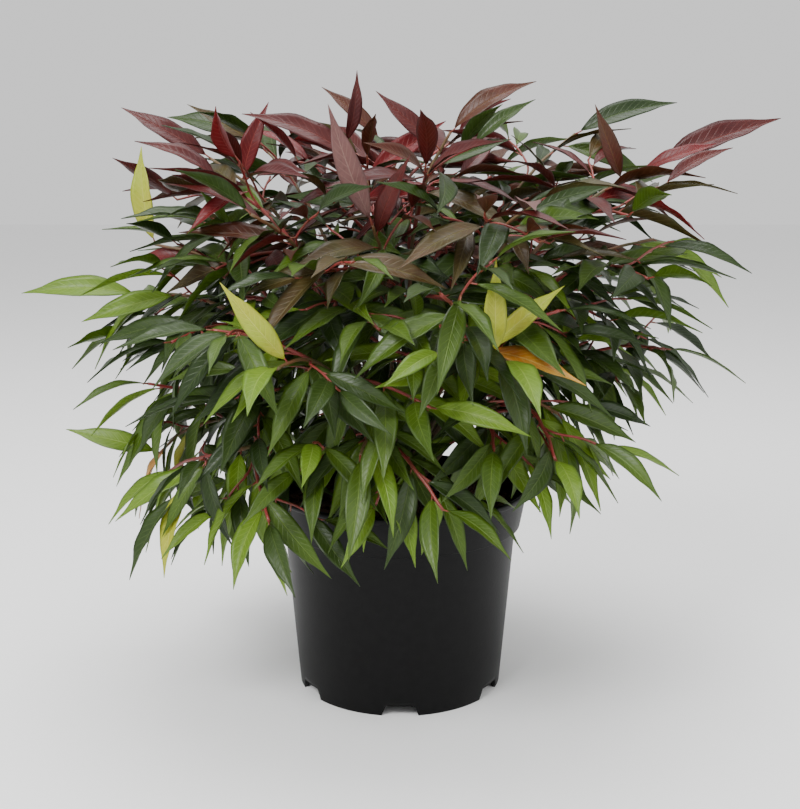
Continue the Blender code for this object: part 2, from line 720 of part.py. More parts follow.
def path_place(path, share):
    """Point and direction of a path at a share of its length."""
    lengths = [(b - a).length for a, b in zip(path, path[1:])]
    target = share * sum(lengths)
    for step, length in enumerate(lengths):
        if target <= length or step == len(lengths) - 1:
            along = (path[step + 1] - path[step]).normalized()
            return path[step] + along * target, along
        target -= length


def candidate_leaf(spray, node, attempt, dice):
    """One way a leaf could grow at its node: the first is the natural one, later ones stray more."""
    share = node.place / (node.count - 1)
    stray = 1.0 + 0.5 * attempt
    swing = dice.uniform(-9.0, 9.0) * stray
    sag = dice.uniform(-14.0, 14.0) * (0.7 + 0.3 * stray)
    growth = dice.uniform(0.92, 1.10) * (1.0 - 0.015 * attempt)
    roll = dice.uniform(-LEAF_ROLL, LEAF_ROLL)
    nodes_after = node.count - 1 - node.place
    outline = OUTLINE_LEAVES.get(spray.name, []) if node.leading else []
    if nodes_after < len(outline):
        bearing, pitch, length, facing = outline[nodes_after]
        direction = heading(bearing + 0.2 * swing, pitch + 0.1 * sag)
        normal = leaf_normal(direction, node.base, facing, 0.3 * roll)
    else:
        if nodes_after > 0:
            if abs(node.along.z) > UPRIGHT_SHOOT:
                swing += SPIRAL_TURN * node.place
            else:
                turn = OLD_LEAF_TURN + (YOUNG_LEAF_TURN - OLD_LEAF_TURN) * share
                swing += turn if node.place % 2 else -turn
        bearing = course_of(node.along, spray.bearing) + swing
        pitch = leaf_pitch(node.base.z, share) + sag
        length = spray.leaf * (1.0 - (1.0 - YOUNG_LEAF_SHARE) * share**2) * growth
        direction = heading(bearing, min(84.0, max(-80.0, pitch)))
        normal = leaf_normal(direction, node.base, None, roll)
    return Leaf(node.base, direction, normal, length, node.radius * LEAF_ROOT_SINK)


def within_reach(leaf):
    """Whether a leaf's tip stays inside the crown's reach, height and lowest level."""
    tip = leaf.root + leaf.direction * leaf.length
    return (abs(tip.x) <= CROWN_REACH.x and abs(tip.y) <= CROWN_REACH.y
            and LOWEST_LEAF <= tip.z <= PLANT_HEIGHT)


def grow_leaves(spray, shoots, space, dice):
    """Alternate leaves along every shoot; one that finds no free place is skipped."""
    leaves = []
    for shoot in shoots:
        length = sum((b - a).length for a, b in zip(shoot.path, shoot.path[1:]))
        count = max(FEWEST_LEAVES, round(length * (1.0 - shoot.bare) / NODE_SPACING) + 1)
        for place in reversed(range(count)):
            share = shoot.bare + (LAST_LEAF_AT - shoot.bare) * place / (count - 1)
            base, along = path_place(shoot.path, share)
            radius = shoot.radii[0] + (shoot.radii[-1] - shoot.radii[0]) * share
            node = Node(base, along, radius, place, count, shoot.bare == LEAD_BARE_SHARE)
            for attempt in range(LEAF_TRIES):
                leaf = candidate_leaf(spray, node, attempt, dice)
                middle = leaf.root + leaf.direction * (leaf.length * LEAF_WIDEST_AT)
                if (within_reach(leaf) and space.is_free_for_leaf(leaf, spray.name)
                        and space.nearest_spray(middle) == spray.name):
                    leaves.append(leaf)
                    space.add_leaf(spray.name, leaf)
                    break
    return leaves


def join_spray(spray, shoots, leaves):
    """Fuse a spray's stems and leaves into one solid and drop what doesn't hang together."""
    holder = bpy.data.collections.new(spray.name)
    bpy.context.scene.collection.children.link(holder)
    lead = shoots[0]
    corner = 90.0 if spray.height > 0.30 else -90.0
    body = add_object("spray_" + spray.name, *tube(lead.path, lead.radii, SHOOT_SIDES, corner), spray.colour)
    for shoot in shoots[1:]:
        add_object("side_shoot", *tube(shoot.path, shoot.radii, SHOOT_SIDES, corner), spray.colour, holder)
    for leaf in leaves:
        add_object("leaf", leaf_corners(leaf), LEAF_FACES, spray.colour, holder)
    union = body.modifiers.new("fuse", "BOOLEAN")
    union.operation = "UNION"
    union.operand_type = "COLLECTION"
    union.collection = holder
    union.solver = "MANIFOLD"
    apply_modifiers(body)
    remove_collection(holder)
    keep_largest_piece(body)
    body.data.materials.clear()
    body.data.materials.append(finish_for(spray.colour, body.name))
    return body


def keep_largest_piece(thing):
    """Delete every loose scrap and sealed hollow, so that one closed body is left."""
    mesh = bmesh.new()
    mesh.from_mesh(thing.data)
    unseen = set(mesh.verts)
    pieces = []
    while unseen:
        piece = {unseen.pop()}
        front = list(piece)
        while front:
            for edge in front.pop().link_edges:
                for end in edge.verts:
                    if end in unseen:
                        unseen.discard(end)
                        piece.add(end)
                        front.append(end)
        pieces.append(piece)
    pieces.sort(key=len, reverse=True)
    scraps = [vertex for piece in pieces[1:] for vertex in piece]
    bmesh.ops.delete(mesh, geom=scraps, context="VERTS")
    bmesh.ops.triangulate(mesh, faces=mesh.faces)
    mesh.to_mesh(thing.data)
    mesh.free()


def grow_plant():
    """Boughs, shoots and leaves, each placed clear of all that stands already."""
    space = Space()
    for name in ("nursery_pot", "growing_mix", "woody_stock"):
        mesh = bpy.data.objects[name].data
        space.add_solid([vertex.co for vertex in mesh.vertices],
                        [tuple(face.vertices) for face in mesh.polygons])
    feet = bough_feet()
    grown = {}
    for spray in SPRAYS:
        for nudge in LIMB_NUDGES:
            corners = limb_curve(spray, feet[spray.name], nudge)
            seat_on_stock(corners, space.solids[-1])
            path = curve_points(corners, 0.0, BOUGH_SHARE, BOUGH_RINGS)
            radii = taper(BOUGH_FOOT_RADIUS, BOUGH_TIP_RADIUS, len(path))
            lead = lead_shoot(corners)
            if space.is_free_for_limb(path, radii) and space.is_free_for_limb(lead.path, lead.radii):
                break
        add_object("bough_" + spray.name, *tube(path, radii, BOUGH_SIDES), "bark")
        space.add_stem(spray.name, path, radii)
        space.add_stem(spray.name, lead.path, lead.radii)
        grown[spray.name] = [lead]
    for spray in SPRAYS:
        dice = random.Random(f"{SEED} shoots of {spray.name}")
        grown[spray.name] += side_shoots(spray, grown[spray.name][0], space, dice)
    for spray in SPRAYS:
        dice = random.Random(f"{SEED} leaves of {spray.name}")
        leaves = grow_leaves(spray, grown[spray.name], space, dice)
        join_spray(spray, grown[spray.name], leaves)


clear_scene()
make_pot()
make_soil()
make_stock()
grow_plant()
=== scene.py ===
"""The looks of a potted leucothoe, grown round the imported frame.

The plant grows by the same rule as the solids: boughs from one stock, shoots past their tips and
alternate leaves. Then fine twigs and smaller leaves fill in between them. Each leaf is a folded,
arched blade with a stalk, and its colour goes by the spray that it grows in.
"""
import math
import random
from collections import namedtuple

import bmesh
import bpy
import numpy as np
from mathutils import Matrix, Vector
from mathutils.bvhtree import BVHTree


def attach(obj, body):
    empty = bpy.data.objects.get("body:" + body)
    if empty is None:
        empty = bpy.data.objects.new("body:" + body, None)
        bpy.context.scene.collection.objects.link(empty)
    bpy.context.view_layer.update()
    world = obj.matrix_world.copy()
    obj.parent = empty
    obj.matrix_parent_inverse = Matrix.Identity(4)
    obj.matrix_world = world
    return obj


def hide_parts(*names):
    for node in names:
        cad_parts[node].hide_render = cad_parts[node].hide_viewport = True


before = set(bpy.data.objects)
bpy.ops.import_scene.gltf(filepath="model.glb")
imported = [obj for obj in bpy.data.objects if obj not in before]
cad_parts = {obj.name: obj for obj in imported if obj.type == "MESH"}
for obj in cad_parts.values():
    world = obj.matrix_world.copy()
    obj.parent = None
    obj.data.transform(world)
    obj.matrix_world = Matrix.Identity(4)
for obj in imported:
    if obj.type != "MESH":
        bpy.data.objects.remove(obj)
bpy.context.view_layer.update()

# Pot: a round nursery pot of 190 mm across the rim and 150 mm high
POT_HEIGHT = 0.150
RIM_RADIUS = 0.095
BASE_RADIUS = 0.0753
POT_WALL = 0.0016
LIP_HEIGHT = 0.0040
LIP_WIDTH = 0.0032
BAND_HEIGHT = 0.0296
BAND_FOOT_RADIUS = 0.0888
WALL_TOP_RADIUS = 0.0855
FLOOR_HEIGHT = 0.0095
FOOT_RING_WIDTH = 0.0026
NOTCH_COUNT = 6
NOTCH_HEIGHT = 0.0078
NOTCH_TOP_WIDTH = 0.020
NOTCH_FOOT_WIDTH = 0.026
DRAIN_HOLE_COUNT = 6
DRAIN_HOLE_RADIUS = 0.0055
DRAIN_HOLE_RING = 0.052

# The shown pot's finer shape: slopes at the band's foot and the lip, the longest step of its
# profile, its sides, how far the floor stops short of the wall's outside, and its rays at a hole
BAND_FOOT_RISE = 0.0009
LIP_UNDERSIDE = 0.0006
LIP_EDGE_RISE = 0.0002
WALL_STEP = 0.0035
WALL_SIDES = 288
FLOOR_INTO_WALL = 0.6
FLOOR_RAYS = 48

# Growing mix, and the short woody stock that stands in it
FIT_GAP = 0.0003
SEAT_GAP = 0.0004
SOIL_TOP = 0.1365
SOIL_RISE = 0.003
SOIL_TOP_RADIUS = 0.030
STOCK_HEIGHT = 0.040
STOCK_FOOT_RADIUS = 0.0145
STOCK_RADIUS = 0.0105
STOCK_TOP_RADIUS = 0.0070
STOCK_FLARE_SHARE = 0.22
STOCK_SHOULDER_SHARE = 0.92
STOCK_PLAIN_FROM = 0.26
STOCK_ROUND_SIDES = 72

# Boughs: their feet stand round the stock in three rings, at these shares of its height
FOOT_RINGS = (0.28, 0.56, 0.84)
FOOT_RING_SHARES = (0.34, 0.70, 1.0)
BOUGH_SHARE = 0.36
BOUGH_FOOT_RADIUS = 0.0023
BOUGH_TIP_RADIUS = 0.0016
BOUGH_SIDES = 5
BOUGH_RINGS = 6
SEATING_STEPS = 3

# A limb's line, in degrees above level and in shares of its span: the flattest and the steepest
# start, how much steeper it gets with its lean, and how far it bows over to its end
FLATTEST_START = 40.0
STEEPEST_START = 84.0
START_STEEPENING = 0.54
LOW_END_DROOP = 62.0
HIGH_END_DROOP = 28.0
DROOP_HEIGHTS = (0.16, 0.39)
START_SPAN_SHARE = 0.40
END_SPAN_SHARE = 0.34

# Shoots: a leading one past each bough's tip, and side shoots that fork off it
LEAD_STARTS_PAST = 0.0015
LEAD_RINGS = 6
LEAD_BARE_SHARE = 0.14
SHOOT_TIP_RADIUS = 0.0010
SIDE_SHOOT_RADIUS = 0.0014
SIDE_SHOOT_LENGTH = 0.082
SIDE_SHOOT_RINGS = 4
SIDE_BARE_SHARE = 0.32
SIDE_SPAN_SHARES = (0.34, 0.32)
SIDE_TURN = (25.0, 85.0)
SIDE_CLIMB_SHARE = 0.55
SIDE_PITCH = (-38.0, 30.0)
SIDE_LENGTHS = (0.80, 1.15)
SIDE_END_TURN = 8.0
SIDE_END_DROOP = 22.0
FIRST_FORK_AT = 0.06
FORKS_SPREAD_OVER = 0.62
SHOOT_TRIES = 16
NODE_SPACING = 0.0138
TWIG_CLEARANCE = 0.0008
LIMB_NUDGES = (0.0, 0.006, -0.006, 0.012, -0.012, 0.018, -0.018, 0.024, -0.024)

# Sides of a limb in the search trees, and the level run under which a direction counts as upright
TREE_SIDES = 6
LEAST_LEVEL_RUN = 0.05

# Leaves
LEAF_WIDTH_SHARE = 0.215
LEAF_WIDEST_AT = 0.38
LEAF_ARCH_SHARE = 0.085
LEAF_THICKNESS_SHARE = 0.014
LEAF_ROOT_SINK = 0.45
BLADE_STARTS_AT = 0.14
LEAF_CLEARANCE = 0.0005
LEAF_TRIES = 16
LEAF_ROLL = 34.0
LEAF_SWING = 9.0
LEAF_SAG = 14.0
LEAF_GROWTH = (0.92, 1.10)
OUTWARD_LEAN = 0.7
FACING_LEAN = 1.2
LAST_LEAF_AT = 0.995
FEWEST_LEAVES = 4
YOUNG_LEAF_SHARE = 0.82
OLD_LEAF_TURN = 74.0
YOUNG_LEAF_TURN = 34.0
UPRIGHT_SHOOT = 0.87
SPIRAL_TURN = 137.5

# How leaves are carried, in degrees above level, at the top of the crown, midway and low down
LEAF_PITCHES = (22.0, -14.0, -50.0)
LEAF_PITCH_HEIGHTS = (0.41, 0.32, 0.17)
YOUNG_LEAF_RISE = 36.0
LEAF_PITCH_LIMITS = (-80.0, 84.0)

# Every further try at a leaf strays more and is a little shorter. The leaves that draw the outline
# take only these shares of the swing, the sag and the roll
STRAY_PER_TRY = 0.5
SHRINK_PER_TRY = 0.015
SAG_SHARE = 0.7
SAG_SHARE_PER_STRAY = 0.3
OUTLINE_SHARES = (0.2, 0.1, 0.3)

# The crown's furthest reach to each side, its top and its lowest leaf tip
CROWN_REACH = Vector((0.2665, 0.2380, 0.0))
PLANT_HEIGHT = 0.4475
LOWEST_LEAF = 0.098

# Shoots end inside a dome: its radius up to the shoulder, and at its top and foot
DOME_RADIUS = 0.190
DOME_TOP_RADIUS = 0.135
DOME_FOOT_RADIUS = 0.168
DOME_TOP = 0.408
DOME_SHOULDER = 0.365
DOME_FOOT = 0.140

SEED = 1903

# One row for each spray: where its leading shoot ends (bearing, reach from the pot's middle and
# height), how many side shoots fork off it, its leaf length and its leaf colour
Spray = namedtuple("Spray", "name bearing reach height forks leaf colour")
SPRAYS = [
    Spray("top_front_left", 286, 0.040, 0.396, 3, 0.072, "maroon"),
    Spray("top_right", 60, 0.040, 0.404, 3, 0.072, "maroon"),
    Spray("top_back", 190, 0.085, 0.400, 3, 0.074, "maroon"),
    Spray("upper_left", 268, 0.134, 0.386, 3, 0.074, "maroon"),
    Spray("upper_right", 88, 0.180, 0.382, 3, 0.080, "maroon"),
    Spray("upper_front", 350, 0.100, 0.345, 3, 0.076, "bronze"),
    Spray("upper_front_right", 44, 0.128, 0.360, 3, 0.076, "bronze"),
    Spray("upper_front_left", 316, 0.136, 0.352, 3, 0.076, "maroon"),
    Spray("upper_back_left", 232, 0.140, 0.398, 3, 0.076, "bronze"),
    Spray("upper_back_right", 118, 0.150, 0.404, 3, 0.076, "bronze"),
    Spray("upper_back", 165, 0.155, 0.360, 3, 0.076, "bronze"),
    Spray("shoulder_left", 266, 0.178, 0.325, 2, 0.074, "green"),
    Spray("middle_left", 276, 0.184, 0.292, 3, 0.080, "green"),
    Spray("middle_right", 88, 0.180, 0.330, 3, 0.076, "green"),
    Spray("middle_front_left", 334, 0.170, 0.262, 3, 0.076, "green"),
    Spray("middle_front_right", 22, 0.170, 0.268, 3, 0.076, "green"),
    Spray("middle_back_right", 150, 0.184, 0.280, 3, 0.076, "green"),
    Spray("middle_back_left", 212, 0.184, 0.290, 3, 0.076, "green"),
    Spray("low_left", 264, 0.182, 0.168, 3, 0.074, "bright"),
    Spray("low_front_left", 300, 0.170, 0.166, 3, 0.072, "bright"),
    Spray("low_front", 350, 0.142, 0.205, 2, 0.070, "bright"),
    Spray("low_front_right", 48, 0.140, 0.222, 3, 0.072, "bright"),
    Spray("low_right", 98, 0.168, 0.236, 3, 0.074, "green"),
    Spray("low_back_right", 142, 0.165, 0.200, 2, 0.074, "green"),
    Spray("low_back_left", 220, 0.165, 0.190, 2, 0.074, "green"),
]

# Leaves at the end of a leading shoot, last one first, where they draw the crown's outline:
# bearing, pitch, length, and the bearing that the upper side leans to
OUTLINE_LEAVES = {
    "top_front_left": [(60, 80, 0.051, 20), (276, 22, 0.084, 340), (90, 30, 0.070, 10)],
    "top_right": [(92, 30, 0.068, 10), (270, 42, 0.060, 340)],
    "top_back": [(270, 40, 0.060, 0), (90, 30, 0.060, 0)],
    "upper_left": [(270, 30, 0.072, 330), (268, 22, 0.074, 340), (80, 70, 0.058, 0)],
    "upper_right": [(90, 21, 0.091, 20), (76, 20, 0.060, 10), (300, 64, 0.058, 0)],
    "upper_front": [(285, 70, 0.080, 350), (40, 56, 0.062, 10)],
    "upper_back_left": [(262, 14, 0.074, 330), (280, 30, 0.070, 0)],
    "upper_back_right": [(88, 18, 0.080, 20), (80, -20, 0.074, 0)],
    "shoulder_left": [(270, 84, 0.070, 345), (86, 78, 0.070, 10), (90, 64, 0.070, 0),
                      (262, 2, 0.060, 0)],
    "middle_left": [(270, 0, 0.084, 340), (262, -46, 0.074, 300), (275, -12, 0.070, 0)],
    "middle_right": [(90, -40, 0.074, 40), (78, -20, 0.066, 20), (90, -50, 0.066, 40)],
    "middle_front_left": [(352, -10, 0.080, 0), (292, 50, 0.066, 350), (310, -24, 0.076, 330)],
    "middle_front_right": [(10, -14, 0.082, 10), (350, 80, 0.060, 0), (88, 42, 0.062, 10),
                           (52, -10, 0.078, 30)],
    "middle_back_right": [(170, -10, 0.082, 150)],
    "middle_back_left": [(188, -12, 0.080, 200)],
    "low_left": [(272, 14, 0.072, 330), (262, -62, 0.070, 300), (250, -40, 0.070, 300)],
    "low_front_left": [(280, -58, 0.070, 310), (320, -66, 0.070, 330), (276, -30, 0.074, 330)],
    "low_front": [(350, -52, 0.070, 0), (20, -44, 0.070, 10)],
    "low_front_right": [(30, -50, 0.072, 20), (100, -24, 0.072, 40)],
}

# Fine twigs off every shoot, and their smaller leaves
TWIG_PLACES = (0.30, 0.66)
TWIG_LENGTH = 0.040
TWIG_RADIUS = 0.0008
FINE_LEAF_SHARE = 0.88

# Blades: the half width is shares of the widest, and other shares are of the leaf's length
BLADE_ROWS = 17
BLADE_COLUMNS = 7
BLADE_THICKNESS = 0.00045
BLADE_FOLD = (0.22, 0.52)
BLADE_FOLD_CURVE = 1.3
BLADE_SICKLE = 0.035
BLADE_RIPPLE = 0.012
RIPPLE_SHARES = (0.3, 1.0)
RIPPLE_WAVES = 3.0
BLADE_BREADTH = (0.92, 1.14)
BLADE_WIDEST_AT = 0.40
BLADE_ROUNDNESS = 1.06
BLADE_FOOT_WIDTH = 0.06
BLADE_TIP_WIDTH = 0.012
TIP_DRAWN_IN = 0.30
TIP_DRAWN_IN_AT = 0.86
TIP_DRAWN_IN_RUN = 0.10
MARGIN_THICKNESS_SHARE = 0.25
ARCH_SKEW = 0.85

# Stalks: their share of the leaf, how far past that they run under the blade and how deep they lie
# there, and their rings' radii as shares of STALK_RADIUS
STALK_SHARE = 0.07
STALK_REACH = 1.35
STALK_SINK = 0.004
STALK_RADIUS = 0.00062
STALK_RADII = (1.35, 1.0, 0.95, 0.45)
STALK_SIDES = 4

# Noise is a sum of sine waves. Each layer of it has a height, how close its waves lie, and a seed
NOISE_WAVES = 9
NOISE_DIVISOR = 4.0
MIX_LUMPS = ((0.0011, 260.0, 5), (0.0007, 700.0, 6))
BARK_RIDGES = ((0.07, 520.0, 11), (0.04, 1300.0, 12))
BARK_STRETCH = (1.0, 1.0, 0.35)
LIMB_GRAIN = 420.0
LIMB_GRAIN_RADIUS = 0.004
ZIGZAG_FADE = 8.0
POLE_GAP = 0.00001

# The mix's surface, and the chips of bark on it: their half sizes, and how they vary
MIX_EDGE_RADIUS = 0.0888
MIX_EDGE_FADE = 0.004
MIX_SINK = 0.0006
MIX_RINGS = 64
MIX_SIDES = 160
CHIP_COUNT = 420
CHIP_HALF_SIZE = (0.0060, 0.0036, 0.0014)
CHIP_SIZES = (0.45, 1.0)
CHIP_CORNERS = (0.62, 1.0)
CHIP_TIP = 0.30
CHIP_HEIGHTS = (0.0, 0.0014)
CHIPS_FROM = 0.030
CHIP_EDGE_GAP = 0.004
SQUARE = ((-1, -1), (1, -1), (1, 1), (-1, 1))

# Blade colour, the colour that it shifts to, vein colour, roughness, and the record's slot
LEAF_FINISHES = {
    "maroon": ((0.046, 0.0040, 0.0045), (0.074, 0.0085, 0.0060), (0.120, 0.024, 0.018),
               0.40, "maroon_leaves"),
    "wine_red": ((0.125, 0.0050, 0.0070), (0.075, 0.0045, 0.0050), (0.210, 0.034, 0.026),
                 0.40, "maroon_leaves"),
    # Mauve is partly the leaf's own bronze-purple and partly a painted sheen, which makes its blade, blush
    # and vein colours paler and greyer
    "mauve": ((0.105, 0.044, 0.042), (0.135, 0.060, 0.050), (0.210, 0.120, 0.100),
              0.46, "maroon_leaves"),
    "bronze": ((0.052, 0.018, 0.0060), (0.070, 0.012, 0.0060), (0.120, 0.056, 0.022),
               0.42, "bronze_leaves"),
    "olive": ((0.038, 0.036, 0.0070), (0.060, 0.026, 0.0075), (0.110, 0.088, 0.026),
              0.42, "bronze_leaves"),
    "dark_green": ((0.0165, 0.0350, 0.0035), (0.0250, 0.0500, 0.0050), (0.058, 0.092, 0.018),
                   0.40, "green_leaves"),
    "deep_green": ((0.0110, 0.0250, 0.0035), (0.0180, 0.0370, 0.0045), (0.046, 0.074, 0.018),
                   0.38, "green_leaves"),
    "mid_green": ((0.0370, 0.0740, 0.0050), (0.0540, 0.0980, 0.0065), (0.104, 0.165, 0.024),
                  0.41, "green_leaves"),
    "bright_green": ((0.0820, 0.1550, 0.0090), (0.1150, 0.1950, 0.0120), (0.200, 0.290, 0.050),
                     0.42, "bright_leaves"),
    "lime": ((0.300, 0.360, 0.024), (0.380, 0.330, 0.030), (0.460, 0.470, 0.090),
             0.42, "bright_leaves"),
    "blushed": ((0.430, 0.230, 0.020), (0.380, 0.060, 0.018), (0.500, 0.330, 0.080),
                0.42, "bright_leaves"),
}

# Odds of each leaf colour in a spray of each kind
COLOUR_ODDS = {
    "maroon": (("maroon", 0.38), ("wine_red", 0.15), ("bronze", 0.15), ("olive", 0.14),
               ("dark_green", 0.10), ("deep_green", 0.08)),
    "bronze": (("bronze", 0.15), ("maroon", 0.12), ("olive", 0.21), ("dark_green", 0.18),
               ("deep_green", 0.14), ("mid_green", 0.20)),
    "green": (("dark_green", 0.28), ("deep_green", 0.22), ("mid_green", 0.38), ("bright_green", 0.12)),
    "bright": (("mid_green", 0.42), ("bright_green", 0.36), ("dark_green", 0.14), ("deep_green", 0.08)),
}

# Leaves of the upper sprays turn greener where they grow below these heights
GREENER_BELOW = {"maroon": (0.355, "bronze"), "bronze": (0.315, "green")}

# Colours of the leaves at the end of a leading shoot, last one first, which aren't drawn by odds
LEADING_COLOURS = {
    # The two mauve leaves, here and at upper_front_right, carry a painted sheen in their colour
    "upper_front": ("mauve", "maroon"),
    "middle_front_right": ("bright_green", "lime", "lime", "blushed"),
    "middle_front_left": ("bright_green", "lime"),
    "shoulder_left": ("lime", "wine_red", "mid_green"),
    "upper_left": ("maroon", "wine_red", "maroon"),
    "top_front_left": ("maroon", "maroon", "wine_red"),
    "upper_right": ("maroon", "wine_red", "bronze"),
    "upper_front_right": ("olive", "mauve"),
    "low_left": ("bright_green", "blushed", "lime"),
    "low_front_left": ("dark_green", "lime"),
    "middle_left": ("bright_green", "bright_green"),
    "low_front_right": ("bright_green", "mid_green"),
}

# Leaf surface. A mottle has a scale, a detail, and the noise values for its dark and light ends
LEAF_COAT = 0.08
LEAF_COAT_ROUGHNESS = 0.30
LEAF_SPECULAR = 0.26
BLUSH_MOTTLE = (34.0, 2.0, 0.30, 0.74)
SPECKLE_MOTTLE = (420.0, 4.0, 0.52, 0.95)
SPECKLE_SHADE = 0.62
VEIN_BUMP = (0.55, 0.0006)

# Veins: the group's inputs, how sharp side veins and the margin are, and how side veins fade
VEIN_INPUTS = (("Side Veins", 13.0), ("Slant", 0.16), ("Midrib Width", 0.07))
SIDE_VEIN_SHARPNESS = 8.0
SIDE_VEIN_STRENGTH = 0.42
SIDE_VEIN_FADE = 3.0
MARGIN_SHARPNESS = 9.0
MOTTLE_INPUTS = (("Scale", 60.0), ("Detail", 3.0), ("Low", 0.35), ("High", 0.65))

# Two colours, roughness, scale of the mottle, depth of the relief and specular level
GRAINED_FINISHES = {
    "red_stalk": ((0.230, 0.030, 0.024), (0.160, 0.050, 0.022), 0.42, 90.0, 0.0001, 0.5),
    "thin_bark": ((0.115, 0.072, 0.038), (0.060, 0.036, 0.022), 0.72, 130.0, 0.0004, 0.5),
    "ripening_stem": ((0.150, 0.062, 0.026), (0.095, 0.078, 0.030), 0.50, 80.0, 0.0002, 0.5),
    "young_stem": ((0.240, 0.028, 0.026), (0.150, 0.034, 0.022), 0.42, 80.0, 0.0002, 0.5),
    "black_plastic": ((0.0012, 0.0012, 0.0013), (0.0022, 0.0022, 0.0023), 0.46, 160.0, 0.00006, 0.14),
    "potting_mix": ((0.028, 0.016, 0.010), (0.052, 0.028, 0.016), 0.95, 420.0, 0.0012, 0.5),
    "bark_chip": ((0.110, 0.042, 0.022), (0.050, 0.022, 0.013), 0.85, 300.0, 0.0005, 0.5),
    "stock_bark": ((0.100, 0.062, 0.036), (0.048, 0.030, 0.019), 0.82, 240.0, 0.0008, 0.5),
}
GRAIN_STRENGTH = 0.6
GRAIN_MOTTLE = (6.0, 0.25, 0.75)
GRAIN_CLOSER = 4.0

FLOOR_SIZE = 6.0
FLOOR_COLOUR = (0.92, 0.92, 0.92)
FLOOR_ROUGHNESS = 0.8
WORLD_LIGHT = 0.95
STUDIO_LIGHTS = (("key", (-0.8, -1.2, 1.5), 36.0, 0.7), ("fill", (1.3, -1.0, 1.0), 8.0, 1.0),
                 ("top", (0.0, 0.2, 1.9), 30.0, 1.2))
LIGHTS_AIM = Vector((0.0, 0.0, 0.27))
CAMERA_SENSOR = 36.0
CAMERA_LENS = 55.83
CAMERA_PLACE = (0.0, -0.90, 0.3908)
CAMERA_DIP = 0.1989

Shoot = namedtuple("Shoot", "path radii bare")
Node = namedtuple("Node", "base along radius place count leading")
Leaf = namedtuple("Leaf", "root direction normal length sink")


def pot_outer_radius(height):
    """Outer radius of the pot's plain wall at a height."""
    share = height / (POT_HEIGHT - BAND_HEIGHT)
    return BASE_RADIUS + (WALL_TOP_RADIUS - BASE_RADIUS) * share


def pot_inner_radius(height):
    """Inner radius of the pot at a height, in its wall or in its wider band."""
    band_foot = POT_HEIGHT - BAND_HEIGHT
    if height <= band_foot + POT_WALL:
        return pot_outer_radius(height) - POT_WALL
    lip_foot = POT_HEIGHT - LIP_HEIGHT
    share = (height - band_foot) / (lip_foot - band_foot)
    return BAND_FOOT_RADIUS + (RIM_RADIUS - LIP_WIDTH - BAND_FOOT_RADIUS + POT_WALL) * share - POT_WALL


def outward(bearing):
    """Level unit vector along a bearing in degrees."""
    angle = math.radians(bearing)
    return Vector((math.sin(angle), -math.cos(angle), 0.0))


def heading(bearing, pitch):
    """Unit vector along a bearing, raised by a pitch, both in degrees."""
    lift = math.radians(pitch)
    return outward(bearing) * math.cos(lift) + Vector((0.0, 0.0, math.sin(lift)))


def curve_point(corners, share):
    """Point of the cubic Bezier curve of four corners at a share of its run."""
    rest = 1.0 - share
    a, b, c, d = corners
    return a * rest**3 + b * (3 * rest**2 * share) + c * (3 * rest * share**2) + d * share**3


def curve_points(corners, first, last, count):
    """Evenly spaced points of a Bezier curve between two shares of its run."""
    return [curve_point(corners, first + (last - first) * i / (count - 1)) for i in range(count)]


def ramp(low, high, value):
    """How far a value lies from low to high, held between 0 and 1."""
    return min(1.0, max(0.0, (value - low) / (high - low)))


def bough_feet():
    """Bearing and height of every bough's foot on the stock, by spray name.

    Low sprays spring from the lowest ring of feet and high ones from the top ring. The feet of a
    ring share it evenly, in the order of their sprays' bearings, so that the limbs fan out like a
    fountain and don't cross.
    """
    feet = {}
    by_height = sorted(SPRAYS, key=lambda spray: spray.height)
    begin = 0
    for level, last_share in zip(FOOT_RINGS, FOOT_RING_SHARES):
        end = round(last_share * len(SPRAYS))
        ring = sorted(by_height[begin:end], key=lambda spray: spray.bearing)
        step = 360.0 / len(ring)
        offset = sum(spray.bearing - step * place for place, spray in enumerate(ring)) / len(ring)
        for place, spray in enumerate(ring):
            feet[spray.name] = (offset + step * place, SOIL_TOP + FIT_GAP + STOCK_HEIGHT * level)
        begin = end
    return feet


def limb_curve(spray, foot, nudge):
    """The arching line of a bough and its leading shoot, from the stock to the shoot's end.

    High sprays leave the stock steeply and low ones flatter. nudge bows the line to one side.
    """
    foot_bearing, foot_height = foot
    end = outward(spray.bearing) * spray.reach
    end.z = spray.height
    lean = math.degrees(math.atan2(spray.height - foot_height, spray.reach))
    start_pitch = min(STEEPEST_START, FLATTEST_START + START_STEEPENING * max(0.0, lean))
    droop = LOW_END_DROOP + (HIGH_END_DROOP - LOW_END_DROOP) * ramp(*DROOP_HEIGHTS, spray.height)
    start = outward(foot_bearing) * (STOCK_RADIUS + BOUGH_FOOT_RADIUS + FIT_GAP)
    start.z = foot_height
    span = (end - start).length
    aside = outward(spray.bearing + 90.0) * nudge
    half_way = foot_bearing + 0.5 * turn_between(foot_bearing, spray.bearing)
    rising = start + heading(half_way, start_pitch) * span * START_SPAN_SHARE
    falling = end - heading(spray.bearing, lean - droop) * span * END_SPAN_SHARE
    return [start, rising + aside, falling + aside, end]


def seat_on_stock(corners, stock):
    """Move a limb's foot towards the stock's middle until its nearest corner is a hair off it."""
    level = Vector((corners[0].x, corners[0].y, 0.0)).normalized()
    for _ in range(SEATING_STEPS):
        path = curve_points(corners, 0.0, BOUGH_SHARE, BOUGH_RINGS)
        foot = tube(path, taper(BOUGH_FOOT_RADIUS, BOUGH_TIP_RADIUS, len(path)), BOUGH_SIDES)[0]
        nearest = min(stock.find_nearest(corner)[3] for corner in foot[:BOUGH_SIDES])
        corners[0] = corners[0] - level * (nearest - SEAT_GAP)


def turn_between(first, second):
    """The shorter turn from one bearing to another, in degrees."""
    return (second - first + 180.0) % 360.0 - 180.0


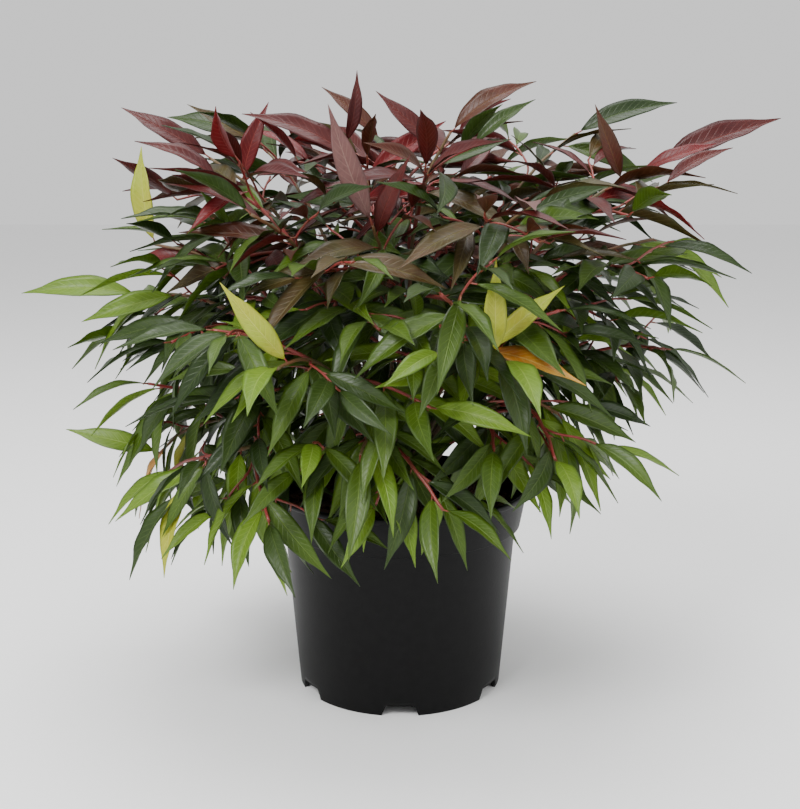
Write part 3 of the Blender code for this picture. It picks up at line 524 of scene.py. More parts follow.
def tube(path, radii, sides):
    """Points and faces of a tapering limb of few sides along a path, closed at both ends.

    The section's first corner is on top.
    """
    count = len(path)
    points = []
    across = (path[1] - path[0]).cross(Vector((0.0, 0.0, 1.0))).normalized()
    for place, middle in enumerate(path):
        along = (path[min(count - 1, place + 1)] - path[max(0, place - 1)]).normalized()
        across = (across - along * across.dot(along)).normalized()
        upright = across.cross(along)
        for side in range(sides):
            angle = math.pi / 2 - 2 * math.pi * side / sides
            points.append(middle + (across * math.cos(angle) + upright * math.sin(angle)) * radii[place])
    faces = [tuple(reversed(range(sides)))]
    for ring in range(count - 1):
        for side in range(sides):
            low = ring * sides
            following = (side + 1) % sides
            faces.append((low + side, low + following, low + sides + following, low + sides + side))
    faces.append(tuple(range((count - 1) * sides, count * sides)))
    return points, faces


def taper(first, last, count):
    """Evenly stepped radii from one end of a limb to the other."""
    return [first + (last - first) * place / (count - 1) for place in range(count)]


def leaf_corners(leaf, root_at=0.0, lift=0.0, spread=0.0):
    """The five corners of a leaf: its root, its left, right and ridge at the widest, and its tip.

    root_at starts it part of the way along, lift moves it along its normal and spread widens it.
    """
    across = leaf.direction.cross(leaf.normal).normalized()
    half_width = leaf.length * LEAF_WIDTH_SHARE / 2 + spread
    raised = leaf.root + leaf.normal * lift
    arch = leaf.normal * (leaf.length * LEAF_ARCH_SHARE)
    middle = raised + leaf.direction * (leaf.length * LEAF_WIDEST_AT) + arch
    if root_at > 0.0:
        root = raised.lerp(middle, root_at / LEAF_WIDEST_AT)
    else:
        root = raised - leaf.direction * leaf.sink
    ridge = leaf.normal * (leaf.length * LEAF_THICKNESS_SHARE)
    tip = raised + leaf.direction * (leaf.length + spread)
    return [root, middle - across * half_width, middle + across * half_width, middle + ridge, tip]


LEAF_FACES = [(0, 3, 1), (1, 3, 4), (3, 2, 4), (0, 2, 3), (0, 1, 2), (1, 4, 2)]


def leaf_tree(leaf, root_at, clearance):
    """Search tree of a leaf, from root_at of its length on, thickened by a clearance."""
    points = []
    faces = []
    for lift in (-clearance, 0.0, clearance):
        start = len(points)
        points += leaf_corners(leaf, root_at, lift, clearance)
        faces += [tuple(start + corner for corner in face) for face in LEAF_FACES]
    return BVHTree.FromPolygons(points, faces)


def tube_tree(path, radii, clearance):
    """Search tree of a limb thickened by a clearance."""
    return BVHTree.FromPolygons(*tube(path, [radius + clearance for radius in radii], TREE_SIDES))


def leaf_pitch(height, share):
    """How a leaf is carried, in degrees above level.

    Leaves rise at the top of the crown and hang low down, and old ones near a shoot's foot hang
    more than the young ones at its end.
    """
    top, midway, low = LEAF_PITCH_HEIGHTS
    top_pitch, midway_pitch, low_pitch = LEAF_PITCHES
    carried = low_pitch + (midway_pitch - low_pitch) * ramp(low, midway, height)
    carried += (top_pitch - midway_pitch) * ramp(midway, top, height)
    return carried + YOUNG_LEAF_RISE * (share - 0.5)


def leaf_normal(direction, base, facing, roll):
    """The way a leaf's upper side faces, square to the leaf: up and outwards, or to a bearing."""
    if facing is None:
        lean = Vector((base.x, base.y, 0.0)).normalized() * OUTWARD_LEAN
    else:
        lean = outward(facing) * FACING_LEAN
    wanted = Vector((0.0, 0.0, 1.0)) + lean
    normal = (wanted - direction * wanted.dot(direction)).normalized()
    return Matrix.Rotation(math.radians(roll), 3, direction) @ normal


class Space:
    """Every limb, shoot and leaf placed so far, to find what a new one would touch."""

    def __init__(self):
        self.solids = []
        self.stems = {}
        self.blades = {}
        self.blade_trees = {}

    def add_solid(self, points, faces):
        """A solid that nothing may touch: the pot, the mix or the stock."""
        self.solids.append(BVHTree.FromPolygons(points, faces))

    def add_stem(self, spray_name, path, radii):
        """A bough, a shoot or a twig of a spray."""
        self.stems.setdefault(spray_name, []).append(tube_tree(path, radii, 0.0))

    def add_leaf(self, spray_name, leaf):
        """A leaf of a spray, whose leaves share one search tree."""
        points, faces = self.blades.setdefault(spray_name, ([], []))
        start = len(points)
        points += leaf_corners(leaf)
        faces += [tuple(start + corner for corner in face) for face in LEAF_FACES]
        self.blade_trees[spray_name] = BVHTree.FromPolygons(points, faces)

    def stem_trees(self, skipped=None):
        """Search trees of all stems, apart from those of a skipped spray."""
        return [tree for name, trees in self.stems.items() if name != skipped for tree in trees]

    def is_free_for_limb(self, path, radii):
        """A bough and its leading shoot stand clear of every other limb, and just off the stock."""
        tree = tube_tree(path, radii, TWIG_CLEARANCE)
        bare = tube_tree(path, radii, 0.0)
        return (not any(tree.overlap(other) for other in self.stem_trees())
                and not any(bare.overlap(other) for other in self.solids))

    def is_free_for_shoot(self, tree, spray_name):
        """A side shoot grows out of its own spray's stems, so it's tested against the rest."""
        others = self.solids + self.stem_trees(spray_name)
        return not any(tree.overlap(other) for other in others)

    def is_free_for_leaf(self, leaf, spray_name):
        """A leaf may touch only the shoot that it grows from, and that only at its root."""
        whole = leaf_tree(leaf, 0.0, LEAF_CLEARANCE)
        others = self.solids + self.stem_trees(spray_name)
        others += [tree for name, tree in self.blade_trees.items() if name != spray_name]
        if any(whole.overlap(other) for other in others):
            return False
        blade = leaf_tree(leaf, BLADE_STARTS_AT, LEAF_CLEARANCE)
        own = list(self.stems[spray_name])
        if spray_name in self.blade_trees:
            own.append(self.blade_trees[spray_name])
        return not any(blade.overlap(other) for other in own)

    def room_at(self, point):
        """Distance from a point to the nearest stem."""
        return min(tree.find_nearest(point)[3] for tree in self.stem_trees())

    def nearest_spray(self, point):
        """Name of the spray whose stems pass nearest to a point."""
        nearest = {name: min(tree.find_nearest(point)[3] for tree in trees)
                   for name, trees in self.stems.items()}
        return min(nearest, key=nearest.get)


def course_of(along, otherwise):
    """Bearing of a direction in degrees, or another one where it points nearly straight up."""
    if math.hypot(along.x, along.y) < LEAST_LEVEL_RUN:
        return otherwise
    return math.degrees(math.atan2(along.x, -along.y))


def inside_dome(point):
    """Whether a shoot may end at a point: the dome narrows above its shoulder and towards its foot."""
    if not DOME_FOOT <= point.z <= DOME_TOP:
        return False
    midway = 0.5 * (DOME_FOOT + DOME_SHOULDER)
    radius = DOME_FOOT_RADIUS + (DOME_RADIUS - DOME_FOOT_RADIUS) * ramp(DOME_FOOT, midway, point.z)
    radius += (DOME_TOP_RADIUS - DOME_RADIUS) * ramp(DOME_SHOULDER, DOME_TOP, point.z)
    return math.hypot(point.x, point.y) <= radius


def lead_shoot(corners):
    """The leading shoot: the bough's own curve, taken on past its tip."""
    path = curve_points(corners, BOUGH_SHARE + LEAD_STARTS_PAST, 1.0, LEAD_RINGS)
    return Shoot(path, taper(BOUGH_TIP_RADIUS, SHOOT_TIP_RADIUS, len(path)), LEAD_BARE_SHARE)


def side_shoot(spray, parent, share, side, longest, thickest, space, dice):
    """A shoot off its parent at a share of the way: of many it could be, the clear one with most room.

    side is 1 to the right of the parent and -1 to the left, seen along it.
    """
    root, along = path_place(parent.path, share)
    course = course_of(along, spray.bearing)
    climb = math.degrees(math.asin(along.z))
    start_share, end_share = SIDE_SPAN_SHARES
    best = None
    most_room = 0.0
    for _ in range(SHOOT_TRIES):
        bearing = course + side * dice.uniform(*SIDE_TURN)
        pitch = SIDE_CLIMB_SHARE * climb + dice.uniform(*SIDE_PITCH)
        length = longest * dice.uniform(*SIDE_LENGTHS)
        end = root + heading(bearing, pitch) * length
        if not inside_dome(end):
            continue
        finish = heading(bearing + side * SIDE_END_TURN, pitch - SIDE_END_DROOP)
        corners = [root, root + along * length * start_share, end - finish * length * end_share, end]
        path = curve_points(corners, 0.0, 1.0, SIDE_SHOOT_RINGS)
        radii = taper(thickest, min(thickest, SHOOT_TIP_RADIUS), len(path))
        if not space.is_free_for_shoot(tube_tree(path, radii, TWIG_CLEARANCE), spray.name):
            continue
        room = space.room_at(end)
        if room > most_room:
            most_room = room
            best = Shoot(path, radii, SIDE_BARE_SHARE)
    return best


def side_shoots(spray, lead, space, dice):
    """The side shoots of a spray, to the left and right of its leading shoot in turn."""
    shoots = []
    for fork in range(spray.forks):
        share = FIRST_FORK_AT + FORKS_SPREAD_OVER * fork / max(1, spray.forks)
        side = 1.0 if fork % 2 else -1.0
        shoot = side_shoot(spray, lead, share, side, SIDE_SHOOT_LENGTH, SIDE_SHOOT_RADIUS, space, dice)
        if shoot:
            shoots.append(shoot)
            space.add_stem(spray.name, shoot.path, shoot.radii)
    return shoots


def path_place(path, share):
    """Point and direction of a path at a share of its length."""
    lengths = [(b - a).length for a, b in zip(path, path[1:])]
    target = share * sum(lengths)
    for step, length in enumerate(lengths):
        if target <= length or step == len(lengths) - 1:
            along = (path[step + 1] - path[step]).normalized()
            return path[step] + along * target, along
        target -= length


def candidate_leaf(spray, node, attempt, dice):
    """One way a leaf could grow at its node: the first is the natural one, later ones stray more."""
    share = node.place / (node.count - 1)
    stray = 1.0 + STRAY_PER_TRY * attempt
    swing = dice.uniform(-LEAF_SWING, LEAF_SWING) * stray
    sag = dice.uniform(-LEAF_SAG, LEAF_SAG) * (SAG_SHARE + SAG_SHARE_PER_STRAY * stray)
    growth = dice.uniform(*LEAF_GROWTH) * (1.0 - SHRINK_PER_TRY * attempt)
    roll = dice.uniform(-LEAF_ROLL, LEAF_ROLL)
    nodes_after = node.count - 1 - node.place
    outline = OUTLINE_LEAVES.get(spray.name, []) if node.leading else []
    if nodes_after < len(outline):
        bearing, pitch, length, facing = outline[nodes_after]
        swing_share, sag_share, roll_share = OUTLINE_SHARES
        direction = heading(bearing + swing_share * swing, pitch + sag_share * sag)
        normal = leaf_normal(direction, node.base, facing, roll_share * roll)
    else:
        if nodes_after > 0:
            if abs(node.along.z) > UPRIGHT_SHOOT:
                swing += SPIRAL_TURN * node.place
            else:
                turn = OLD_LEAF_TURN + (YOUNG_LEAF_TURN - OLD_LEAF_TURN) * share
                swing += turn if node.place % 2 else -turn
        bearing = course_of(node.along, spray.bearing) + swing
        pitch = leaf_pitch(node.base.z, share) + sag
        length = spray.leaf * (1.0 - (1.0 - YOUNG_LEAF_SHARE) * share**2) * growth
        lowest, highest = LEAF_PITCH_LIMITS
        direction = heading(bearing, min(highest, max(lowest, pitch)))
        normal = leaf_normal(direction, node.base, None, roll)
    return Leaf(node.base, direction, normal, length, node.radius * LEAF_ROOT_SINK)


def within_reach(leaf):
    """Whether a leaf's tip stays inside the crown's reach, height and lowest level."""
    tip = leaf.root + leaf.direction * leaf.length
    return (abs(tip.x) <= CROWN_REACH.x and abs(tip.y) <= CROWN_REACH.y
            and LOWEST_LEAF <= tip.z <= PLANT_HEIGHT)


def grow_leaves(spray, shoots, space, dice):
    """Alternate leaves along every shoot; one that finds no free place is skipped."""
    leaves = []
    for shoot in shoots:
        length = sum((b - a).length for a, b in zip(shoot.path, shoot.path[1:]))
        count = max(FEWEST_LEAVES, round(length * (1.0 - shoot.bare) / NODE_SPACING) + 1)
        for place in reversed(range(count)):
            share = shoot.bare + (LAST_LEAF_AT - shoot.bare) * place / (count - 1)
            base, along = path_place(shoot.path, share)
            radius = shoot.radii[0] + (shoot.radii[-1] - shoot.radii[0]) * share
            node = Node(base, along, radius, place, count, shoot.bare == LEAD_BARE_SHARE)
            for attempt in range(LEAF_TRIES):
                leaf = candidate_leaf(spray, node, attempt, dice)
                middle = leaf.root + leaf.direction * (leaf.length * LEAF_WIDEST_AT)
                if (within_reach(leaf) and space.is_free_for_leaf(leaf, spray.name)
                        and space.nearest_spray(middle) == spray.name):
                    leaves.append(leaf)
                    space.add_leaf(spray.name, leaf)
                    break
    return leaves


def fine_shoots(spray, shoots, space, dice):
    """Short twigs off both sides of every shoot, thinner than the shoot that they grow from."""
    twigs = []
    for shoot in shoots:
        for place, share in enumerate(TWIG_PLACES):
            side = 1.0 if place % 2 else -1.0
            twig = side_shoot(spray, shoot, share, side, TWIG_LENGTH, TWIG_RADIUS, space, dice)
            if twig:
                twigs.append(twig)
                space.add_stem(spray.name, twig.path, twig.radii)
    return twigs


def grow_plant():
    """Limbs, shoots, fine twigs and leaves, each placed clear of all that stands already.

    The shoots and the first leaves are those of the solids. Fine twigs and their smaller leaves
    then fill in between them, by the same rule and within the same reach.
    """
    space = Space()
    for name in ("nursery_pot", "growing_mix", "woody_stock"):
        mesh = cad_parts[name].data
        space.add_solid([vertex.co for vertex in mesh.vertices],
                        [tuple(face.vertices) for face in mesh.polygons])
    feet = bough_feet()
    limbs = {}
    shoots = {}
    for spray in SPRAYS:
        for nudge in LIMB_NUDGES:
            corners = limb_curve(spray, feet[spray.name], nudge)
            seat_on_stock(corners, space.solids[-1])
            path = curve_points(corners, 0.0, BOUGH_SHARE, BOUGH_RINGS)
            radii = taper(BOUGH_FOOT_RADIUS, BOUGH_TIP_RADIUS, len(path))
            lead = lead_shoot(corners)
            if space.is_free_for_limb(path, radii) and space.is_free_for_limb(lead.path, lead.radii):
                break
        space.add_stem(spray.name, path, radii)
        space.add_stem(spray.name, lead.path, lead.radii)
        limbs[spray.name] = corners
        shoots[spray.name] = [lead]
    for spray in SPRAYS:
        dice = random.Random(f"{SEED} shoots of {spray.name}")
        shoots[spray.name] += side_shoots(spray, shoots[spray.name][0], space, dice)
    leaves = {}
    for spray in SPRAYS:
        dice = random.Random(f"{SEED} leaves of {spray.name}")
        leaves[spray.name] = grow_leaves(spray, shoots[spray.name], space, dice)
    twigs = {}
    for spray in SPRAYS:
        dice = random.Random(f"{SEED} fine twigs of {spray.name}")
        twigs[spray.name] = fine_shoots(spray, shoots[spray.name], space, dice)
    for spray in SPRAYS:
        dice = random.Random(f"{SEED} fine leaves of {spray.name}")
        smaller = spray._replace(leaf=spray.leaf * FINE_LEAF_SHARE)
        leaves[spray.name] += grow_leaves(smaller, twigs[spray.name], space, dice)
    return limbs, shoots, twigs, leaves


def placed(name, data):
    """A new object that shows its data in the scene."""
    thing = bpy.data.objects.new(name, data)
    bpy.context.scene.collection.objects.link(thing)
    return thing


def new_piece(name, points, faces, material, uv=None, smooth=True):
    """One shown piece that rides on the plant's one body, from its points and faces."""
    mesh = bpy.data.meshes.new(name)
    corners_of_faces = faces if isinstance(faces, list) else faces.tolist()
    mesh.from_pydata(points.reshape(-1, 3).tolist(), [], corners_of_faces)
    if uv is not None:
        layer = mesh.uv_layers.new(name="UVMap")
        corners = np.empty(len(mesh.loops), dtype=np.int32)
        mesh.loops.foreach_get("vertex_index", corners)
        layer.data.foreach_set("uv", np.asarray(uv, dtype=np.float32).reshape(-1, 2)[corners].ravel())
    if smooth:
        mesh.shade_smooth()
    mesh.update()
    mesh.materials.append(material)
    piece = placed(name, mesh)
    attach(piece, "root")
    return piece


def quads(index, wrap_rows=False, wrap_columns=False):
    """Four-cornered faces of a grid of point numbers, closed round on the sides that wrap."""
    if wrap_rows:
        index = np.concatenate([index, index[:1]], axis=0)
    if wrap_columns:
        index = np.concatenate([index, index[:, :1]], axis=1)
    return np.stack([index[:-1, :-1], index[:-1, 1:], index[1:, 1:], index[1:, :-1]], axis=-1).reshape(-1, 4)


def unevenness(points, scale, seed):
    """Smooth noise, mostly between -1 and 1: sines of the points along random directions, summed."""
    dice = np.random.default_rng(seed)
    waves = dice.normal(size=(NOISE_WAVES, 3)) * scale
    phases = dice.uniform(0.0, 2 * math.pi, NOISE_WAVES)
    return np.sin(points @ waves.T + phases).sum(axis=-1) / NOISE_DIVISOR


def layered_noise(points, layers):
    """The sum of several layers of noise, each of its own height and scale."""
    return sum(height * unevenness(points, scale, seed) for height, scale, seed in layers)


def leaf_arrays(leaves):
    """Roots, directions, ways across, normals and lengths of many leaves, a row for each leaf."""
    roots, along, normal = (np.array([getattr(leaf, name) for leaf in leaves])
                            for name in ("root", "direction", "normal"))
    return roots, along, np.cross(along, normal), normal, np.array([leaf.length for leaf in leaves])


def leaf_blades(leaves, dice):
    """Points, faces and UVs of many leaf blades, in one array of each.

    With t along a blade and s across it, the midrib is a low arch, bent aside a little like a
    sickle. The half width is a sine of t, skewed to its widest place and drawn in before the tip.
    Both halves fold up from the midrib and ripple at the margin, where the blade is thinnest.
    """
    count = len(leaves)
    t = np.linspace(0.0, 1.0, BLADE_ROWS)
    s = np.linspace(-1.0, 1.0, BLADE_COLUMNS)
    roots, along, across, normal, length = leaf_arrays(leaves)
    fold = dice.uniform(*BLADE_FOLD, count)
    sickle = dice.uniform(-1.0, 1.0, count) * BLADE_SICKLE
    ripple = dice.uniform(*RIPPLE_SHARES, count) * BLADE_RIPPLE
    phase = dice.uniform(0.0, 2 * math.pi, count)
    breadth = dice.uniform(*BLADE_BREADTH, count)
    run = STALK_SHARE + (1.0 - STALK_SHARE) * t
    skew = math.log(0.5) / math.log(BLADE_WIDEST_AT)
    drawn_in = 1.0 - TIP_DRAWN_IN * np.exp(-((t - TIP_DRAWN_IN_AT) / TIP_DRAWN_IN_RUN) ** 2)
    half = np.sin(math.pi * t**skew).clip(0.0) ** BLADE_ROUNDNESS * drawn_in
    half[0] = BLADE_FOOT_WIDTH
    half[-1] = BLADE_TIP_WIDTH
    arch = LEAF_ARCH_SHARE * np.sin(math.pi * run**ARCH_SKEW)
    width = half[None, :] * (breadth * LEAF_WIDTH_SHARE / 2)[:, None]
    turns = RIPPLE_WAVES * 2 * math.pi * t
    wave = np.sin(turns[None, :] + phase[:, None]) * ripple[:, None] * half[None, :]
    up = (arch[None, :, None]
          + width[:, :, None] * (fold[:, None, None] * np.abs(s)[None, None, :] ** BLADE_FOLD_CURVE)
          + wave[:, :, None] * (s**2)[None, None, :])
    aside = sickle[:, None] * np.sin(math.pi * run)[None, :]
    side = width[:, :, None] * s[None, None, :] + aside[:, :, None]
    size = length[:, None, None, None]
    top = (roots[:, None, None, :]
           + along[:, None, None, :] * size * run[None, :, None, None]
           + across[:, None, None, :] * size * side[..., None]
           + normal[:, None, None, :] * size * up[..., None])
    thick = BLADE_THICKNESS * (MARGIN_THICKNESS_SHARE + (1.0 - MARGIN_THICKNESS_SHARE) * (1.0 - s**2))
    under = top - normal[:, None, None, :] * thick[None, None, :, None]
    points = np.stack([top, under], axis=1)
    uv = np.empty((count, 2, BLADE_ROWS, BLADE_COLUMNS, 2))
    uv[..., 0] = (s[None, None, None, :] + 1.0) / 2.0
    uv[..., 1] = t[None, None, :, None]
    number = np.arange(2 * BLADE_ROWS * BLADE_COLUMNS).reshape(2, BLADE_ROWS, BLADE_COLUMNS)
    rim = np.concatenate([number[:, :, 0].T, number[:, -1, 1:].T, number[:, -2::-1, -1].T,
                          number[:, 0, -2:0:-1].T], axis=0)
    one = np.concatenate([quads(number[0]), quads(number[1])[:, ::-1],
                          quads(rim, wrap_rows=True)[:, ::-1]])
    faces = (np.arange(count)[:, None, None] * number.size + one[None]).reshape(-1, 4)
    return points, faces, uv


def leaf_stalks(leaves):
    """Points and faces of the short round stalks that carry the blades.

    Each is a ring carried along the foot of the leaf's arch, from inside the twig to the blade.
    """
    ring_count = len(STALK_RADII)
    rings = np.linspace(0.0, STALK_SHARE * STALK_REACH, ring_count)
    angles = 2 * math.pi * np.arange(STALK_SIDES) / STALK_SIDES
    roots, along, across, normal, length = leaf_arrays(leaves)
    arch = LEAF_ARCH_SHARE * np.sin(math.pi * rings**ARCH_SKEW) - STALK_SINK
    arch[0] = 0.0
    middle = (roots[:, None, :] + along[:, None, :] * (length[:, None] * rings)[..., None]
              + normal[:, None, :] * (length[:, None] * arch)[..., None])
    radius = np.array(STALK_RADII) * STALK_RADIUS
    ring = (across[:, None, :] * np.cos(angles)[None, :, None]
            + normal[:, None, :] * np.sin(angles)[None, :, None])
    points = middle[:, :, None, :] + ring[:, None, :, :] * radius[None, :, None, None]
    number = np.arange(ring_count * STALK_SIDES).reshape(ring_count, STALK_SIDES)
    caps = np.array([number[0], number[-1][::-1]])
    one = np.concatenate([quads(number, wrap_columns=True)[:, ::-1], caps])
    faces = (np.arange(len(leaves))[:, None, None] * number.size + one[None]).reshape(-1, 4)
    return points, faces


def smooth_run(path, count):
    """Evenly spaced points of the smooth curve through a path's points, by cubic interpolation."""
    given = np.array(path)
    ends = np.concatenate([[2 * given[0] - given[1]], given, [2 * given[-1] - given[-2]]])
    place = np.linspace(0.0, len(given) - 1 - 1e-9, count)
    first = place.astype(int)
    u = (place - first)[:, None]
    a, b, c, d = (ends[first + step] for step in range(4))
    return 0.5 * (2 * b + (c - a) * u + (2 * a - 5 * b + 4 * c - d) * u**2 + (3 * b - a - 3 * c + d) * u**3)


def round_limb(path, radii, rings, sides, relief=0.0, kink=0.0):
    """Points and faces of one limb: a circle carried along a smooth path, closed at both ends.

    The radius tapers evenly and takes the relief's share in or out. A kink moves the path from side
    to side in a zigzag of one bend for each leaf.
    """
    middle = smooth_run(path, rings)
    along = np.gradient(middle, axis=0)
    along /= np.linalg.norm(along, axis=1, keepdims=True)
    level = np.cross(along, [0.0, 0.0, 1.0]) + 1e-9
    level /= np.linalg.norm(level, axis=1, keepdims=True)
    upright = np.cross(level, along)
    run = np.linspace(0.0, 1.0, rings)
    length = np.linalg.norm(np.diff(middle, axis=0), axis=1).sum()
    bends = run * length / NODE_SPACING
    fade = np.minimum(1.0, np.minimum(run, 1.0 - run) * ZIGZAG_FADE)
    zigzag = np.arcsin(np.sin(bends * math.pi)) * 2 / math.pi * kink * fade
    middle = middle + level * zigzag[:, None]
    angles = 2 * math.pi * np.arange(sides) / sides
    ring = (level[:, None, :] * np.cos(angles)[None, :, None]
            + upright[:, None, :] * np.sin(angles)[None, :, None])
    radius = np.interp(run, np.linspace(0.0, 1.0, len(radii)), radii)[:, None] * np.ones((1, sides))
    if relief:
        grain = unevenness(middle[:, None, :] + ring * LIMB_GRAIN_RADIUS, LIMB_GRAIN, len(path))
        radius = radius * (1.0 + relief * grain)
    points = (middle[:, None, :] + ring * radius[..., None]).reshape(-1, 3)
    points = np.concatenate([points, middle[:1], middle[-1:]])
    number = np.arange(rings * sides).reshape(rings, sides)
    body = quads(number, wrap_columns=True)
    start, end = rings * sides, rings * sides + 1
    following = np.roll(np.arange(sides), -1)
    foot = np.stack([np.full(sides, start), following, np.arange(sides)], axis=1)
    tip = np.stack([np.full(sides, end), number[-1], number[-1][following]], axis=1)
    return points, body.tolist() + foot.tolist() + tip.tolist()


def limbs_in_one(parts):
    """Points and faces of many limbs in one mesh."""
    points = []
    faces = []
    start = 0
    for some, own in parts:
        points.append(some)
        faces += [[start + corner for corner in face] for face in own]
        start += len(some)
    return np.concatenate(points), faces


def limb_piece(name, parts, material):
    """One shown piece of many limbs, with its normals turned outwards."""
    piece = new_piece(name, *limbs_in_one(parts), material)
    shape = bmesh.new()
    shape.from_mesh(piece.data)
    bmesh.ops.recalc_face_normals(shape, faces=shape.faces)
    shape.to_mesh(piece.data)
    shape.free()
    return piece


def turned_piece(name, profile, sides, material, shape=None, wrap=True):
    """A piece turned from (radius, height) pairs and reshaped by a function of its points.

    The profile is a closed loop where it wraps, and else runs from the axis round to the axis.
    """
    outline = np.array(profile)
    angles = 2 * math.pi * np.arange(sides) / sides
    points = np.stack([outline[:, :1] * np.sin(angles), -outline[:, :1] * np.cos(angles),
                       np.repeat(outline[:, 1:], sides, axis=1)], axis=-1)
    if shape is not None:
        points = shape(points)
    number = np.arange(len(outline) * sides).reshape(len(outline), sides)
    piece = new_piece(name, points, quads(number, wrap_rows=wrap, wrap_columns=True), material)
    if not wrap:
        close_poles(piece.data)
    return piece


def close_poles(mesh):
    """Merge the points that a turned shape has on its axis."""
    shape = bmesh.new()
    shape.from_mesh(mesh)
    bmesh.ops.remove_doubles(shape, verts=shape.verts, dist=POLE_GAP)
    shape.to_mesh(mesh)
    shape.free()


def rounded(corner, before, after, radius, steps=6):
    """A corner of a profile, softened: the quadratic curve from one side of it to the other."""
    corner, before, after = (np.array(point) for point in (corner, before, after))
    start = corner + (before - corner) / np.linalg.norm(before - corner) * radius
    end = corner + (after - corner) / np.linalg.norm(after - corner) * radius
    u = np.linspace(0.0, 1.0, steps)[:, None]
    return ((1 - u) ** 2 * start + 2 * u * (1 - u) * corner + u**2 * end).tolist()


def pot_section():
    """The pot's wall as a closed profile: foot ring, tapered wall, band, rolled lip and inside.

    Each corner has its radius, its height and how far from it the softened run starts.
    """
    band_foot = POT_HEIGHT - BAND_HEIGHT
    lip_foot = POT_HEIGHT - LIP_HEIGHT
    lip_inside = RIM_RADIUS - LIP_WIDTH
    corners = [
        (BASE_RADIUS - FOOT_RING_WIDTH, 0.0, 0.0003),
        (BASE_RADIUS, 0.0, 0.0005),
        (WALL_TOP_RADIUS, band_foot, 0.0010),
        (BAND_FOOT_RADIUS, band_foot + BAND_FOOT_RISE, 0.0008),
        (lip_inside + POT_WALL, lip_foot - LIP_UNDERSIDE, 0.0006),
        (RIM_RADIUS, lip_foot + LIP_EDGE_RISE, 0.0014),
        (RIM_RADIUS, POT_HEIGHT, 0.0016),
        (lip_inside, POT_HEIGHT, 0.0008),
        (lip_inside, lip_foot, 0.0006),
        (BAND_FOOT_RADIUS - POT_WALL, band_foot + 2 * POT_WALL, 0.0006),
        (WALL_TOP_RADIUS - POT_WALL, band_foot + POT_WALL / 2, 0.0006),
        (pot_outer_radius(FLOOR_HEIGHT) - FOOT_RING_WIDTH, FLOOR_HEIGHT, 0.0004),
    ]
    section = []
    for place, (*corner, softness) in enumerate(corners):
        before = corners[place - 1][:2]
        after = corners[(place + 1) % len(corners)][:2]
        section += rounded(corner, before, after, softness)
    wall = []
    for first, last in zip(section, section[1:] + section[:1]):
        steps = max(1, int(math.dist(first, last) / WALL_STEP))
        wall += [np.array(first) + (np.array(last) - first) * step / steps for step in range(steps)]
    return wall


def notch_foot(points):
    """Lift what lies under a notch to its roof: a trapezoid of the run round the foot, six times."""
    bearing = np.arctan2(points[..., 0], -points[..., 1])
    pitch = 2 * math.pi / NOTCH_COUNT
    off = np.abs((bearing + pitch / 2) % pitch - pitch / 2) * BASE_RADIUS
    half_top, half_foot = NOTCH_TOP_WIDTH / 2, NOTCH_FOOT_WIDTH / 2
    roof = NOTCH_HEIGHT * ((half_foot - off) / (half_foot - half_top)).clip(0.0, 1.0)
    points[..., 2] = np.maximum(points[..., 2], roof)
    return points


def floor_plates():
    """The pot's floor as six plates with a drain hole each.

    Around a hole, each ray runs from its edge to the plate's own border: its two straight sides or
    the wall. The section is a closed loop of four corners, so every plate is one closed body.
    """
    rays = 2 * math.pi * np.arange(FLOOR_RAYS) / FLOOR_RAYS
    away = np.stack([np.sin(rays), -np.cos(rays)], axis=1)
    half = math.pi / DRAIN_HOLE_COUNT
    wall = pot_outer_radius(FLOOR_HEIGHT) - POT_WALL * FLOOR_INTO_WALL
    hole = np.array([0.0, -DRAIN_HOLE_RING])
    reach = np.full(FLOOR_RAYS, np.inf)
    for side in (-1.0, 1.0):
        inward = np.array([side * math.cos(half), math.sin(half)])
        slope = away @ inward
        distance = -(hole @ inward)
        reach = np.where(slope > 1e-6, np.minimum(reach, distance / np.maximum(slope, 1e-6)), reach)
    lean = away @ hole
    to_wall = -lean + np.sqrt(lean**2 + wall**2 - DRAIN_HOLE_RING**2)
    reach = np.minimum(reach, to_wall)
    inner = hole + away * DRAIN_HOLE_RADIUS
    outer = hole + away * reach[:, None]
    loop = [(inner, FLOOR_HEIGHT), (outer, FLOOR_HEIGHT), (outer, FLOOR_HEIGHT + POT_WALL),
            (inner, FLOOR_HEIGHT + POT_WALL)]
    plate = np.stack([np.column_stack([edge, np.full(FLOOR_RAYS, height)]) for edge, height in loop])
    number = np.arange(len(loop) * FLOOR_RAYS).reshape(len(loop), FLOOR_RAYS)
    one = quads(number, wrap_rows=True, wrap_columns=True)
    points = []
    faces = []
    for place in range(DRAIN_HOLE_COUNT):
        angle = 2 * half * (place + 0.5)
        turn = np.array([[math.cos(angle), -math.sin(angle), 0],
                         [math.sin(angle), math.cos(angle), 0],
                         [0, 0, 1]])
        points.append(plate.reshape(-1, 3) @ turn.T)
        faces.append(one + place * number.size)
    return np.concatenate(points), np.concatenate(faces)


def mix_surface(points):
    """Lumps in the mix's top: two sizes of noise on everything near the surface."""
    near_top = ((points[..., 2] - SOIL_TOP + SOIL_RISE * 2) / (SOIL_RISE * 2)).clip(0.0, 1.0)
    off_edge = MIX_EDGE_RADIUS - np.hypot(points[..., 0], points[..., 1])
    inside = (off_edge / MIX_EDGE_FADE).clip(0.0, 1.0)
    points[..., 2] += near_top * inside * (layered_noise(points, MIX_LUMPS) - MIX_SINK)
    return points


